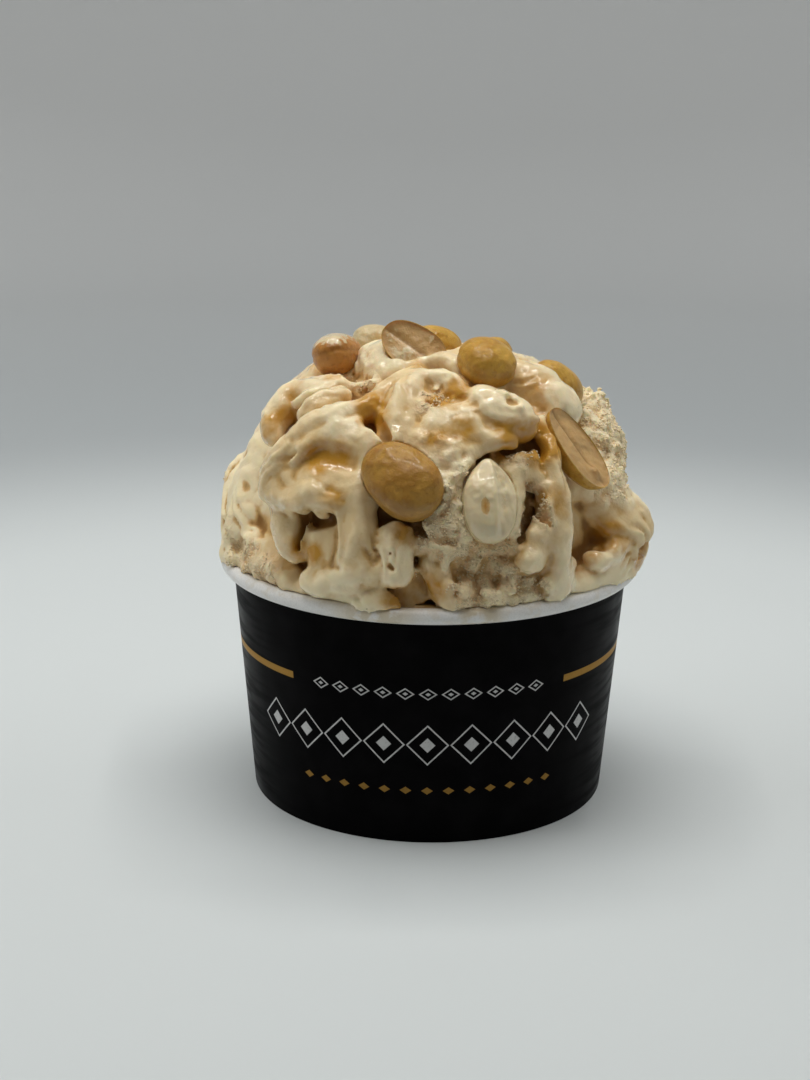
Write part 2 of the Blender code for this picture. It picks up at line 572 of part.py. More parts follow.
class Body:
    """Signed distances to the gelato's surface on a grid of points, negative inside."""

    def __init__(self, low, high, step):
        self.step = step
        self.axes = [np.arange(low[i], high[i] + step, step) for i in range(3)]
        x, y, z = np.meshgrid(*self.axes, indexing="ij", sparse=True)
        self.values = self.plain_mound(x, y, z)

    @staticmethod
    def plain_mound(x, y, z):
        """Return the distance to the mound's core."""
        radius = np.hypot(x, y)
        height = z - MOUND_CENTRE
        shape = (
            (radius / MOUND_RADIUS) ** MOUND_SQUARENESS + (np.abs(height) / MOUND_HEIGHT) ** MOUND_SQUARENESS
        ) ** (1.0 / MOUND_SQUARENESS)
        size = np.hypot(radius, height) + 1e-6
        return np.where(shape > 1e-6, size * (1.0 - 1.0 / np.maximum(shape, 1e-6)), -size) + CORE_DEPTH

    def noise(self, period, seed):
        """Return a smooth random relief between -1 and 1, its bumps one period apart."""
        weights = []
        for axis in self.axes:
            place = (axis + NOISE_ORIGIN) / period
            cell = np.floor(place).astype(int)
            part = place - cell
            part = part * part * (3.0 - 2.0 * part)
            rows = np.zeros((len(axis), cell.max() + 2))
            rows[np.arange(len(axis)), cell] = 1.0 - part
            rows[np.arange(len(axis)), cell + 1] = part
            weights.append(rows)
        counts = [rows.shape[1] for rows in weights]
        lattice = np.random.default_rng(seed).uniform(-1.0, 1.0, counts)
        return np.einsum("ia,jb,kc,abc->ijk", *weights, lattice, optimize=True)

    def window(self, low, high):
        """Return the slices of the grid inside a box, and its points there."""
        slices = []
        for axis, start, end in zip(self.axes, low, high):
            first = max(int((start - axis[0]) / self.step), 0)
            last = min(int((end - axis[0]) / self.step) + 2, len(axis))
            slices.append(slice(first, max(last, first)))
        inner = [axis[part] for axis, part in zip(self.axes, slices)]
        return tuple(slices), np.meshgrid(*inner, indexing="ij", sparse=True)

    def roll(self, fold, crest):
        """Return a fold's window and its distances, with the lift taken at its crest or its middle."""
        stations = spline(fold.track, SPLINE_STEPS)
        spread = ROLL_SPREAD if crest else 1.0
        widths = spread * fold.half_width * stations[:, 3]
        heights = fold.half_height * stations[:, 3]
        middles = stations[:, 2] - heights if crest else stations[:, 2]
        centres = np.array([on_mound(s[0], s[1], lift) for s, lift in zip(stations, middles)])
        normals = np.array([outward(s[0], s[1]) for s in stations])
        room = max(widths.max(), heights.max()) + fold.blend + ROLL_BLEND + self.step
        slices, points = self.window(centres.min(axis=0) - room, centres.max(axis=0) + room)
        nearest = None
        for place in range(max(len(centres) - 1, 1)):
            other = min(place + 1, len(centres) - 1)
            distance = self.segment(
                points, centres[place], centres[other], normals[place] + normals[other],
                widths[[place, other]], heights[[place, other]],
            )
            nearest = distance if nearest is None else np.minimum(nearest, distance)
        return slices, nearest

    @staticmethod
    def segment(points, start, end, normal, widths, heights):
        """Return the distance to a rounded stretch between two stations, flattened along its normal."""
        along = end - start
        length = float(along @ along)
        offset = [axis - origin for axis, origin in zip(points, start)]
        if length > 1e-9:
            share = sum(o * a for o, a in zip(offset, along)) / length
            share = np.clip(share, 0.0, 1.0)
            normal = normal - along * (normal @ along) / length
        else:
            share = np.zeros(np.broadcast_shapes(*[o.shape for o in offset]))
        normal = normal / np.linalg.norm(normal)
        offset = [o - share * a for o, a in zip(offset, along)]
        rise = sum(o * n for o, n in zip(offset, normal))
        sideways = np.maximum(sum(o * o for o in offset) - rise * rise, 0.0)
        width = widths[0] + (widths[1] - widths[0]) * share
        height = heights[0] + (heights[1] - heights[0]) * share
        near = np.sqrt(sideways / width ** 2 + rise ** 2 / height ** 2)
        slope = np.sqrt(sideways / width ** 4 + rise ** 2 / height ** 4) + 1e-6
        return near * (near - 1.0) / slope

    def add(self, fold):
        """Lay a roll of gelato onto the body."""
        slices, distance = self.roll(fold, True)
        blend = fold.blend + ROLL_BLEND
        self.values[slices] = smooth_lower(self.values[slices], distance, blend)

    def cut(self, fold):
        """Press a groove into the body."""
        slices, distance = self.roll(fold, False)
        self.values[slices] = -smooth_lower(-self.values[slices], distance, fold.blend)

    def roughen(self, places, octaves):
        """Tear the body's surface at the given places."""
        x, y, z = np.meshgrid(*self.axes, indexing="ij", sparse=True)
        share = np.zeros(self.values.shape)
        for azimuth, elevation, radius in places:
            centre = on_mound(azimuth, elevation, 0.0)
            away = np.sqrt((x - centre[0]) ** 2 + (y - centre[1]) ** 2 + (z - centre[2]) ** 2)
            share = np.maximum(share, np.clip(2.0 - 2.0 * away / radius, 0.0, 1.0))
        for period, depth, seed in octaves:
            self.values += share * depth * self.noise(period, seed)

    def keep_clear_of_cup(self):
        """Fill the cup up to its wall and base, and stay off its rim."""
        x, y, z = np.meshgrid(*self.axes, indexing="ij", sparse=True)
        radius = np.hypot(x, y)
        inside = wall_outside(z) - PAPER - CUP_CLEARANCE
        plug = np.maximum(radius - inside, z - MOUND_CENTRE - 1.0)
        body = np.minimum(self.values, plug)
        bead = np.hypot(radius - BEAD_CENTRE_RADIUS, z - BEAD_CENTRE_HEIGHT)
        bead = bead - BEAD_RADIUS - CUP_CLEARANCE
        allowed = np.minimum(BEAD_CENTRE_HEIGHT - z, radius - inside)
        body = np.maximum(np.maximum(body, allowed), -bead)
        self.values = np.maximum(body, BASE_TOP + CUP_CLEARANCE - z)

    def press_in(self, peanut, clearance):
        """Make room for a peanut."""
        frame = peanut_frame(peanut)
        centre = np.array(frame.translation)
        room = 0.5 * peanut.length + 2.0 * clearance + self.step
        slices, points = self.window(centre - room, centre + room)
        offset = [axis - origin for axis, origin in zip(points, centre)]
        halves = (peanut.length, peanut.width, peanut.thickness * (2.0 if peanut.half else 1.0))
        near = 1e-9
        for place, measure in enumerate(halves):
            direction = frame.to_3x3().col[place]
            along = sum(o * d for o, d in zip(offset, direction))
            near = near + np.abs(along / (0.5 * measure + clearance)) ** PEANUT_SQUARENESS
        size = np.sqrt(sum(o * o for o in offset))
        distance = size * (1.0 - near ** (-1.0 / PEANUT_SQUARENESS))
        if peanut.half:
            up = frame.to_3x3().col[2]
            distance = np.maximum(distance, sum(o * d for o, d in zip(offset, up)) - clearance)
        self.values[slices] = np.maximum(self.values[slices], -distance)

    def part_pinches(self, fill):
        """Fill, or open, the grid cells where two sheets of the surface would touch."""
        corners = list(itertools.product((0, 1), repeat=3))
        pinched = np.array([is_pinched(code, corners) for code in range(256)])
        for _ in range(PINCH_ROUNDS):
            inside = self.values < 0.0
            code = sum(
                inside[self.shifted(corner)].astype(int) << bit for bit, corner in enumerate(corners)
            )
            bad = pinched[code]
            if not bad.any():
                break
            for corner in corners:
                part = self.values[self.shifted(corner)]
                if fill:
                    part[bad & (part >= 0.0)] = -PINCH_DEPTH * self.step
                else:
                    part[bad & (part < 0.0)] = PINCH_DEPTH * self.step

    @staticmethod
    def shifted(corner):
        """Return the slices that pick one corner of every cell."""
        return tuple(slice(1, None) if step else slice(None, -1) for step in corner)

    def surface(self):
        """Return the vertices and quads of the surface: one vertex per crossed cell."""
        values = self.values
        inside = values < 0.0
        points, cells, quads = [], [], []
        for axis in range(3):
            second, third = (axis + 1) % 3, (axis + 2) % 3
            lower = [slice(None)] * 3
            upper = [slice(None)] * 3
            lower[axis], upper[axis] = slice(None, -1), slice(1, None)
            place = np.argwhere(inside[tuple(lower)] != inside[tuple(upper)])
            beyond = place.copy()
            beyond[:, axis] += 1
            near, far = values[tuple(place.T)], values[tuple(beyond.T)]
            point = place.astype(float)
            point[:, axis] += near / (near - far)
            around = []
            for step_second, step_third in ((0, 0), (1, 0), (1, 1), (0, 1)):
                cell = place.copy()
                cell[:, second] -= step_second
                cell[:, third] -= step_third
                around.append(np.ravel_multi_index(cell.T, values.shape))
                points.append(point)
                cells.append(around[-1])
            quad = np.stack(around, axis=1)
            inward = near > 0.0
            quad[inward] = quad[inward][:, ::-1]
            quads.append(quad)
        found, order = np.unique(np.concatenate(cells), return_inverse=True)
        share = np.bincount(order)
        stacked = np.vstack(points)
        middle = np.stack([np.bincount(order, weights=stacked[:, i]) / share for i in range(3)], axis=1)
        origin = np.array([axis[0] for axis in self.axes])
        return origin + middle * self.step, np.searchsorted(found, np.vstack(quads))


def is_pinched(code, corners):
    """Say whether a cell's inner or outer corners fall into more than one group."""
    for wanted in (0, 1):
        group = [corner for bit, corner in enumerate(corners) if (code >> bit) & 1 == wanted]
        if not group:
            continue
        reached = {group[0]}
        frontier = [group[0]]
        while frontier:
            here = frontier.pop()
            for there in group:
                if there not in reached and sum(abs(a - b) for a, b in zip(here, there)) == 1:
                    reached.add(there)
                    frontier.append(there)
        if len(reached) < len(group):
            return True
    return False


def back_folds():
    """Return the rolls at the back: each runs down from the crown, drifting round the mound."""
    random = np.random.default_rng(BACK_SEED)
    folds = []
    for place in range(BACK_FOLDS):
        azimuth = BACK_FROM + (BACK_TO - BACK_FROM) * (place + 0.5) / BACK_FOLDS
        drift = random.uniform(-BACK_DRIFT, BACK_DRIFT)
        high, low = random.uniform(*BACK_HIGH), random.uniform(*BACK_LOW)
        crest = random.uniform(*BACK_CREST)
        track = []
        for share in np.linspace(0.0, 1.0, BACK_STATIONS):
            swell = math.sin(math.pi * share)
            track.append((
                azimuth + drift * (share - 0.5) + random.uniform(-BACK_WANDER, BACK_WANDER),
                high + (low - high) * share,
                crest * (0.6 + 0.4 * swell),
                0.75 + 0.35 * swell,
            ))
        width = random.uniform(*BACK_WIDTH)
        folds.append(Fold("back fold", width, BACK_HEIGHT, BACK_BLEND, tuple(track)))
    return folds


def rim_edge():
    """Return the low rolls that lie on the rim, all round but at the bowl."""
    random = np.random.default_rng(BACK_SEED + 1)
    folds = []
    for azimuth in range(-180, 180, EDGE_STEP):
        if EDGE_BARE[0] <= azimuth <= EDGE_BARE[1]:
            continue
        crest = random.uniform(*EDGE_CREST)
        reach = 0.4 * EDGE_STEP
        track = tuple((azimuth + side * reach, EDGE_ELEVATION, crest, 1) for side in (-1, 1))
        folds.append(Fold("edge", EDGE_WIDTH, EDGE_HEIGHT, EDGE_BLEND, track))
    return folds


def gelato_body(step):
    """Return the finished distances of the gelato."""
    reach = RIM_RADIUS + GRID_MARGIN
    top = MOUND_CENTRE + MOUND_HEIGHT + 2.5 * GRID_MARGIN
    body = Body((-reach, -reach, BASE_TOP - 0.5 * GRID_MARGIN), (reach, reach, top), step)
    for fold in (*MASSES, *rim_edge()):
        body.add(fold)
    for period, depth, seed in UNEVENNESS:
        body.values += depth * body.noise(period, seed)
    body.roughen(ROUGH_PLACES, ROUGHNESS)
    for fold in HOLLOWS:
        body.cut(fold)
    for fold in (*back_folds(), *ROLLS):
        body.add(fold)
    for fold in NOTCHES:
        body.cut(fold)
    body.part_pinches(True)
    for peanut in PEANUTS:
        body.press_in(peanut, PEANUT_CLEARANCE)
    body.keep_clear_of_cup()
    body.part_pinches(False)
    return body


def keep_outer_shell(shape):
    """Drop every scrap that isn't joined to the surface's highest point."""
    start = max(shape.verts, key=lambda vertex: vertex.co.z)
    reached = {start}
    frontier = [start]
    while frontier:
        for edge in frontier.pop().link_edges:
            for vertex in edge.verts:
                if vertex not in reached:
                    reached.add(vertex)
                    frontier.append(vertex)
    loose = [vertex for vertex in shape.verts if vertex not in reached]
    bmesh.ops.delete(shape, geom=loose, context="VERTS")


def build_gelato():
    """Make the gelato: one body that fills the cup and heaps above it."""
    points, quads = gelato_body(GRID_STEP).surface()
    mesh = bpy.data.meshes.new("gelato")
    mesh.from_pydata((points * MM).tolist(), [], quads.tolist())
    shape = bmesh.new()
    shape.from_mesh(mesh)
    keep_outer_shell(shape)
    bmesh.ops.triangulate(shape, faces=shape.faces)
    shape.to_mesh(mesh)
    shape.free()
    mesh.shade_smooth()
    thing = add_object("gelato", mesh, finish("gelato", CREAM, 0.4))
    thinner = thing.modifiers.new("thin out", "DECIMATE")
    thinner.ratio = min(1.0, GELATO_TRIANGLES / len(mesh.polygons))
    return thing


def peanut_frame(peanut):
    """Return the matrix that places a peanut: its length along X and its face, or top, along Z."""
    long_axis = Vector(peanut.long_axis).normalized()
    face_axis = Vector(peanut.face_axis)
    face_axis = (face_axis - long_axis * face_axis.dot(long_axis)).normalized()
    side_axis = face_axis.cross(long_axis)
    centre = on_mound(peanut.azimuth, peanut.elevation, peanut.lift)
    frame = Matrix((long_axis, side_axis, face_axis)).transposed().to_4x4()
    frame.translation = Vector(centre)
    return frame


def kernel_point(point, peanut):
    """Return where a point of the unit sphere lies on the kernel."""
    swell = sum(abs(part) ** PEANUT_SQUARENESS for part in point) ** (-1.0 / PEANUT_SQUARENESS)
    x, y, z = point * swell
    blunt = 1.0 + PEANUT_BLUNTNESS * x
    groove = 1.0 - PEANUT_GROOVE * math.exp(-(z / GROOVE_REACH) ** 2)
    place = Vector((
        0.5 * peanut.length * x,
        0.5 * peanut.width * y * blunt * groove,
        0.5 * peanut.thickness * z * blunt,
    ))
    if peanut.half:
        if z > 1e-6:
            depth = HALF_HOLLOW * peanut.width * min(1.0, HALF_HOLLOW_RISE * z)
            off_germ = (x - HALF_GERM_PLACE) ** 2 + y ** 2
            germ = HALF_GERM_HEIGHT * peanut.width * math.exp(-off_germ / HALF_GERM_SPREAD)
            place.z = germ * min(1.0, HALF_GERM_RISE * z) - depth
        else:
            place.z = peanut.thickness * z * blunt
    return place


def build_peanut(peanut):
    """Make one peanut: a whole kernel, or half of one with its hollowed face up."""
    mesh = bpy.data.meshes.new(peanut.name)
    shape = bmesh.new()
    turn = Matrix.Rotation(math.radians(90.0), 3, "Y")
    bmesh.ops.create_uvsphere(shape, u_segments=PEANUT_SEGMENTS, v_segments=PEANUT_RINGS, radius=1.0)
    for vertex in shape.verts:
        vertex.co = kernel_point(turn @ vertex.co, peanut) * MM
    bmesh.ops.triangulate(shape, faces=shape.faces)
    shape.to_mesh(mesh)
    shape.free()
    mesh.shade_smooth()
    thing = add_object(peanut.name, mesh, finish(peanut.name, peanut.colour, 0.35))
    frame = peanut_frame(peanut)
    frame.translation *= MM
    thing.matrix_world = frame
    return thing


def build_cup():
    """Make the cup's wall and its base."""
    wall = turned("cup_wall", wall_profile(), CUP_SEGMENTS)
    add_object("cup_wall", wall, finish("cup_wall", BLACK, 0.35))
    base = disc_with_skirt("cup_base", base_profile(), CUP_SEGMENTS)
    add_object("cup_base", base, finish("cup_base", WHITE, 0.5))


def main():
    """Build the whole cup."""
    clear_scene()
    build_cup()
    build_gelato()
    for peanut in PEANUTS:
        build_peanut(peanut)


main()
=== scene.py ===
"""Looks of a paper cup heaped with peanut gelato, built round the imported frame.

The frame's origin is the middle of the ring the cup stands on, +Z is up and the front faces -Y.
Shapes are worked out in millimetres and become metres where a mesh is made.
Azimuths are degrees round the cup, 0 at the front and 90 at the right. Elevations are degrees
above the mound's centre, which lies on the cup's axis near the rim.
"""

import itertools
import logging
import math
from dataclasses import dataclass, field
from enum import Enum
from typing import Any, Dict, List, Optional, Sequence, Tuple

import bmesh
import bpy
import numpy as np
from mathutils import Matrix, Vector


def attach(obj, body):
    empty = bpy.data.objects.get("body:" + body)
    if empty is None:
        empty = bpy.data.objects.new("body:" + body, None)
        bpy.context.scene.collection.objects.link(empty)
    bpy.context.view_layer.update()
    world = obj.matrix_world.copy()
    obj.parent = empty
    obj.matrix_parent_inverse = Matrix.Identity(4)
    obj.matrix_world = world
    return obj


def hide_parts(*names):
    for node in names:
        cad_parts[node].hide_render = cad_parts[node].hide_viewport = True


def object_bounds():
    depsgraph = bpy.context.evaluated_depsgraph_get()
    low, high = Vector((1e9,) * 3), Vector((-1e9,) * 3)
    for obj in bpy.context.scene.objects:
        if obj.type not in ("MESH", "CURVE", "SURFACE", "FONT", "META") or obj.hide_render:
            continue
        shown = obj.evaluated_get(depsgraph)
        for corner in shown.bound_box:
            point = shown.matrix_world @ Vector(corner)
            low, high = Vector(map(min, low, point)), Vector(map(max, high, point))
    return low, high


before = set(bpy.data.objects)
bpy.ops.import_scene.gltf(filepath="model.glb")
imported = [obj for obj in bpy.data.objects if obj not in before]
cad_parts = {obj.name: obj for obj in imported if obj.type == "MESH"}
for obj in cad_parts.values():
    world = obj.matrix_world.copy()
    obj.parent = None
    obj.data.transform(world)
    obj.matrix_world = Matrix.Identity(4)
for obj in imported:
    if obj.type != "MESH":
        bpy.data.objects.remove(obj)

LOG = logging.getLogger("gelato")
CAD_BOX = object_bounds()
MM = 0.001
BODY = "root"
SHARP_FROM = math.radians(40.0)

Triple = Tuple[float, float, float]
Reliefs = Tuple[Tuple[float, float, int], ...]
Track = Tuple[Tuple[float, float, float, float], ...]


class Kernel(Enum):
    """The two ways a peanut lies on the gelato."""

    WHOLE = "whole"
    HALF = "half"


@dataclass(frozen=True)
class Stroke:
    """A roll of gelato, or a groove in it, along a track on the mound.

    The track's stations are (azimuth, elevation, lift, size). For a roll the lift is its crest's
    height above the plain mound, for a groove its middle's height. Size scales both half measures.
    """

    name: str
    half_width: float
    half_height: float
    blend: float
    track: Track


@dataclass(frozen=True)
class PeanutPlace:
    """A kernel with its place on the mound, the way it lies, its three measures and its looks."""

    name: str
    azimuth: float
    elevation: float
    lift: float
    long_axis: Triple
    face_axis: Triple
    length: float
    width: float
    thickness: float
    kernel: Kernel
    skin: str
    smear: float


# Node trees


class Signal:
    """One output socket of a node tree, so that maths on it reads as an expression."""

    def __init__(self, sheet: "Sheet", socket: bpy.types.NodeSocket) -> None:
        """Keep the socket and the tree it belongs to."""
        self.sheet = sheet
        self.socket = socket

    def maths(self, operation: str, *values: Any) -> "Signal":
        """Add a Math node.

        Args:
            operation: the Math node's operation.
            values: its inputs in order, numbers or signals.

        Returns:
            The node's result.
        """
        return self.sheet.node("ShaderNodeMath", {"operation": operation}, dict(enumerate(values)))

    def __add__(self, other: Any) -> "Signal":
        """Return the sum."""
        return self.maths("ADD", self, other)

    def __radd__(self, other: Any) -> "Signal":
        """Return the sum."""
        return self.maths("ADD", other, self)

    def __sub__(self, other: Any) -> "Signal":
        """Return the difference."""
        return self.maths("SUBTRACT", self, other)

    def __rsub__(self, other: Any) -> "Signal":
        """Return the difference from a number."""
        return self.maths("SUBTRACT", other, self)

    def __mul__(self, other: Any) -> "Signal":
        """Return the product."""
        return self.maths("MULTIPLY", self, other)

    def __rmul__(self, other: Any) -> "Signal":
        """Return the product."""
        return self.maths("MULTIPLY", other, self)

    def __truediv__(self, other: Any) -> "Signal":
        """Return the quotient."""
        return self.maths("DIVIDE", self, other)

    def __abs__(self) -> "Signal":
        """Return the size without its sign."""
        return self.maths("ABSOLUTE", self)

    def lesser(self, other: Any) -> "Signal":
        """Return the lesser of two values."""
        return self.maths("MINIMUM", self, other)

    def greater(self, other: Any) -> "Signal":
        """Return the greater of two values."""
        return self.maths("MAXIMUM", self, other)

    def bearing(self, other: Any) -> "Signal":
        """Return the angle whose tangent is this over the other."""
        return self.maths("ARCTAN2", self, other)

    def wrapped(self, period: float) -> "Signal":
        """Return the distance from the middle of the period it falls into."""
        return self.maths("WRAP", self, 0.5 * period, -0.5 * period)

    def ramp(self, low: float, high: float) -> "Signal":
        """Return 0 below low, 1 above high and a smooth rise between them.

        Args:
            low: where the rise starts.
            high: where it ends; below low for a fall.

        Returns:
            The share from 0 to 1.
        """
        if low > high:
            return 1.0 - self.ramp(high, low)
        sockets = {"Value": self, "From Min": low, "From Max": high, "To Min": 0.0, "To Max": 1.0}
        return self.sheet.node("ShaderNodeMapRange", {"interpolation_type": "SMOOTHSTEP"}, sockets)


class Sheet:
    """A node tree being drawn."""

    def __init__(self, tree: bpy.types.NodeTree) -> None:
        """Keep the tree that the nodes go into."""
        self.tree = tree

    def node(
        self,
        kind: str,
        settings: Optional[Dict[str, Any]] = None,
        sockets: Optional[Dict[Any, Any]] = None,
        output: Any = 0,
    ) -> Signal:
        """Add a node.

        Args:
            kind: the node's type name.
            settings: its properties, set before its sockets.
            sockets: values or signals by input name or number.
            output: the output to return, by name or number.

        Returns:
            The chosen output.
        """
        made = self.tree.nodes.new(kind)
        for name, value in (settings or {}).items():
            setattr(made, name, value)
        for name, value in (sockets or {}).items():
            if isinstance(value, Signal):
                self.tree.links.new(value.socket, made.inputs[name])
            else:
                made.inputs[name].default_value = value
        return Signal(self, made.outputs[output] if len(made.outputs) else None)

    def of(self, signal: Signal, output: Any) -> Signal:
        """Return another output of a signal's node."""
        return Signal(self, signal.socket.node.outputs[output])


class Paint(Sheet):
    """A material's node tree, with the Principled shader that everything ends in."""

    def __init__(self, name: str) -> None:
        """Make the material with only its shader and output."""
        self.material = bpy.data.materials.new(name)
        self.material.use_nodes = True
        super().__init__(self.material.node_tree)
        self.surface = self.tree.nodes["Principled BSDF"]
        self.place = self.node("ShaderNodeTexCoord", output="Object")

    def set(self, **sockets: Any) -> None:
        """Set the shader's sockets, their names written with underscores for spaces."""
        for name, value in sockets.items():
            socket = self.surface.inputs[name.replace("_", " ")]
            if isinstance(value, Signal):
                self.tree.links.new(value.socket, socket)
            else:
                socket.default_value = value

    def noise(self, size: float, detail: float = 3.0, shift: float = 0.0) -> Signal:
        """Add a noise over the object.

        Args:
            size: the size of its bumps in millimetres.
            detail: how many finer layers it has.
            shift: an offset in millimetres, so that two noises differ.

        Returns:
            The noise, about 0.5.
        """
        moved = self.node(
            "ShaderNodeVectorMath", {"operation": "ADD"}, {0: self.place, 1: (shift * MM,) * 3}
        )
        sockets = {"Vector": moved, "Scale": 1.0 / (size * MM), "Detail": detail}
        return self.node("ShaderNodeTexNoise", None, sockets, output=0)

    def attribute(self, name: str) -> Signal:
        """Return a value that each vertex of the mesh carries."""
        return self.node(
            "ShaderNodeAttribute", {"attribute_type": "GEOMETRY", "attribute_name": name}, output="Fac"
        )

    def mix(self, first: Any, second: Any, share: Any) -> Signal:
        """Mix two colours.

        Args:
            first: the colour where the share is 0.
            second: the colour where it is 1.
            share: how much of the second.

        Returns:
            The mixed colour.
        """
        first, second = (c if isinstance(c, Signal) else (*c, 1.0) for c in (first, second))
        settings = {"data_type": "RGBA", "clamp_factor": True}
        return self.node("ShaderNodeMix", settings, {0: share, 6: first, 7: second}, output=2)

    def bump(self, height: Signal, depth: float, below: Optional[Signal] = None) -> Signal:
        """Add a relief.

        Args:
            height: the relief, 0 to 1.
            depth: its depth in millimetres.
            below: the normal that it adds to.

        Returns:
            The bumped normal.
        """
        sockets: Dict[Any, Any] = {"Height": height, "Distance": depth * MM, "Strength": 1.0}
        if below is not None:
            sockets["Normal"] = below
        return self.node("ShaderNodeBump", None, sockets)

    def split(self, vector: Signal) -> Tuple[Signal, Signal, Signal]:
        """Return a vector's three parts."""
        parts = self.node("ShaderNodeSeparateXYZ", None, {"Vector": vector}, output="X")
        return parts, self.of(parts, "Y"), self.of(parts, "Z")

    def on_cup(self) -> Tuple[Signal, Signal]:
        """Return the azimuth in degrees and the height in millimetres."""
        x, y, z = self.split(self.place)
        return x.bearing(0.0 - y) * (180.0 / math.pi), z * (1.0 / MM)


class Recipe(Sheet):
    """A Geometry Nodes group with named inputs, run on one mesh and turned into a plain mesh."""

    def __init__(self, name: str, inputs: Dict[str, Tuple[str, Any]]) -> None:
        """Make the group.

        Args:
            name: the group's name.
            inputs: socket type and value for each named input.
        """
        tree = bpy.data.node_groups.new(name, "GeometryNodeTree")
        super().__init__(tree)
        tree.interface.new_socket("Geometry", in_out="INPUT", socket_type="NodeSocketGeometry")
        self.values = {}
        for label, (kind, value) in inputs.items():
            made = tree.interface.new_socket(label, in_out="INPUT", socket_type=kind)
            self.values[label] = (made.identifier, value)
        tree.interface.new_socket("Geometry", in_out="OUTPUT", socket_type="NodeSocketGeometry")
        self.given = self.node("NodeGroupInput", output="Geometry")

    def input(self, label: str) -> Signal:
        """Return one of the named inputs."""
        return self.of(self.given, label)

    def finished(self, result: Signal) -> None:
        """Link the last geometry to the group's output."""
        self.node("NodeGroupOutput", None, {"Geometry": result})

    def run(self, name: str, source: bpy.types.Mesh) -> bpy.types.Object:
        """Run the group on a mesh.

        Args:
            name: the new object's name.
            source: the mesh that it starts from.

        Returns:
            A plain mesh object with the result.
        """
        host = link(name + "_source", source)
        modifier = host.modifiers.new(name, "NODES")
        modifier.node_group = self.tree
        for identifier, value in self.values.values():
            modifier[identifier] = value
        depsgraph = bpy.context.evaluated_depsgraph_get()
        mesh = bpy.data.meshes.new_from_object(host.evaluated_get(depsgraph), depsgraph=depsgraph)
        mesh.name = name
        host.modifiers.remove(modifier)
        bpy.data.objects.remove(host)
        return link(name, mesh)


def link(name: str, data: Any) -> bpy.types.Object:
    """Return a new object in the scene that holds a mesh, a lamp or a camera."""
    made = bpy.data.objects.new(name, data)
    bpy.context.scene.collection.objects.link(made)
    return made


def settle(thing: bpy.types.Object, node: Optional[str]) -> bpy.types.Object:
    """Put a finished piece on the body.

    Args:
        thing: the piece, with its place in its mesh.
        node: the CAD node that it stands for, if any.

    Returns:
        The same piece.
    """
    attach(thing, BODY)
    if node:
        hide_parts(node)
    LOG.info("%s: %d faces", thing.name, len(thing.data.polygons))
    return thing


# Finishes


@dataclass(frozen=True)
class Lozenges:
    """A row of lozenges on the print, its measures in millimetres."""

    middle: float
    period: float
    half_width: float
    half_height: float
    line: float
    core: float
    reach: float
    soft: float = 0.06

    def draw(self, around: Signal, height: Signal) -> Signal:
        """Draw the row.

        Args:
            around: the distance round the cup, 0 at the front.
            height: the height above the table.

        Returns:
            1 on the lozenges, 0 beside them.
        """
        away = abs(around.wrapped(self.period)) / self.half_width
        away = away + abs(height - self.middle) / self.half_height
        edge, soft = self.line / self.half_height, self.soft / self.half_height
        outline = away.ramp(1.0 + soft, 1.0 - soft) * away.ramp(1.0 - edge - soft, 1.0 - edge + soft)
        filled = away.ramp(self.core + soft, self.core - soft)
        return outline.greater(filled) * abs(around).ramp(self.reach + 0.05, self.reach - 0.05)


@dataclass(frozen=True)
class PrintedPaper:
    """Coated black paper with a gold stripe and a plain lozenge border."""

    black: Triple = (0.0022, 0.0020, 0.0022)
    gold: Triple = (0.42, 0.235, 0.055)
    white: Triple = (0.62, 0.62, 0.61)
    stripe_height: float = 32.6
    stripe_half: float = 0.72
    stripe_from: float = 42.5
    stripe_soft: float = 0.08
    radius: float = 41.0
    large: Lozenges = Lozenges(21.6, 9.2, 4.5, 4.4, 0.42, 0.36, 41.4)
    small: Lozenges = Lozenges(32.6, 4.6, 1.9, 1.25, 0.30, 0.30, 25.3)
    golden: Lozenges = Lozenges(11.6, 4.6, 1.25, 0.80, 0.9, 0.9, 29.9)

    def make(self) -> bpy.types.Material:
        """Return the material."""
        paint = Paint("printed_paper")
        angle, height = paint.on_cup()
        around = angle * (math.pi / 180.0 * self.radius)
        half, soft = self.stripe_half, self.stripe_soft
        stripe = abs(height - self.stripe_height).ramp(half + soft, half - soft)
        stripe = stripe * abs(angle).ramp(self.stripe_from - soft, self.stripe_from + soft)
        large, small, light = (row.draw(around, height) for row in (self.large, self.small, self.golden))
        worn = paint.noise(0.45, 4.0).ramp(0.30, 0.46)
        patchy = paint.noise(7.0, 3.0, 31.0)
        base = paint.mix(self.black, tuple(2.1 * c for c in self.black), patchy.ramp(0.35, 0.75))
        ink = paint.mix(base, self.gold, stripe.greater(light * 0.8) * (0.86 + 0.14 * worn))
        ink = paint.mix(ink, self.white, large.greater(small) * (0.80 + 0.20 * worn))
        streaks = paint.node(
            "ShaderNodeTexNoise",
            {"noise_dimensions": "2D"},
            {"Vector": paint.node("ShaderNodeCombineXYZ", None, {0: around * 0.05, 1: height * 0.55}),
             "Scale": 1.0, "Detail": 5.0},
        )
        rough = 0.26 + 0.20 * streaks.ramp(0.35, 0.75) + 0.10 * patchy
        waves = paint.noise(16.0, 2.0, 5.0)
        grain = paint.noise(0.5, 3.0, 9.0)
        normal = paint.bump(grain, 0.010, paint.bump(waves, 0.35))
        paint.set(Base_Color=ink, Roughness=rough, Normal=normal, IOR=1.45)
        paint.set(Specular_IOR_Level=0.02)
        return paint.material


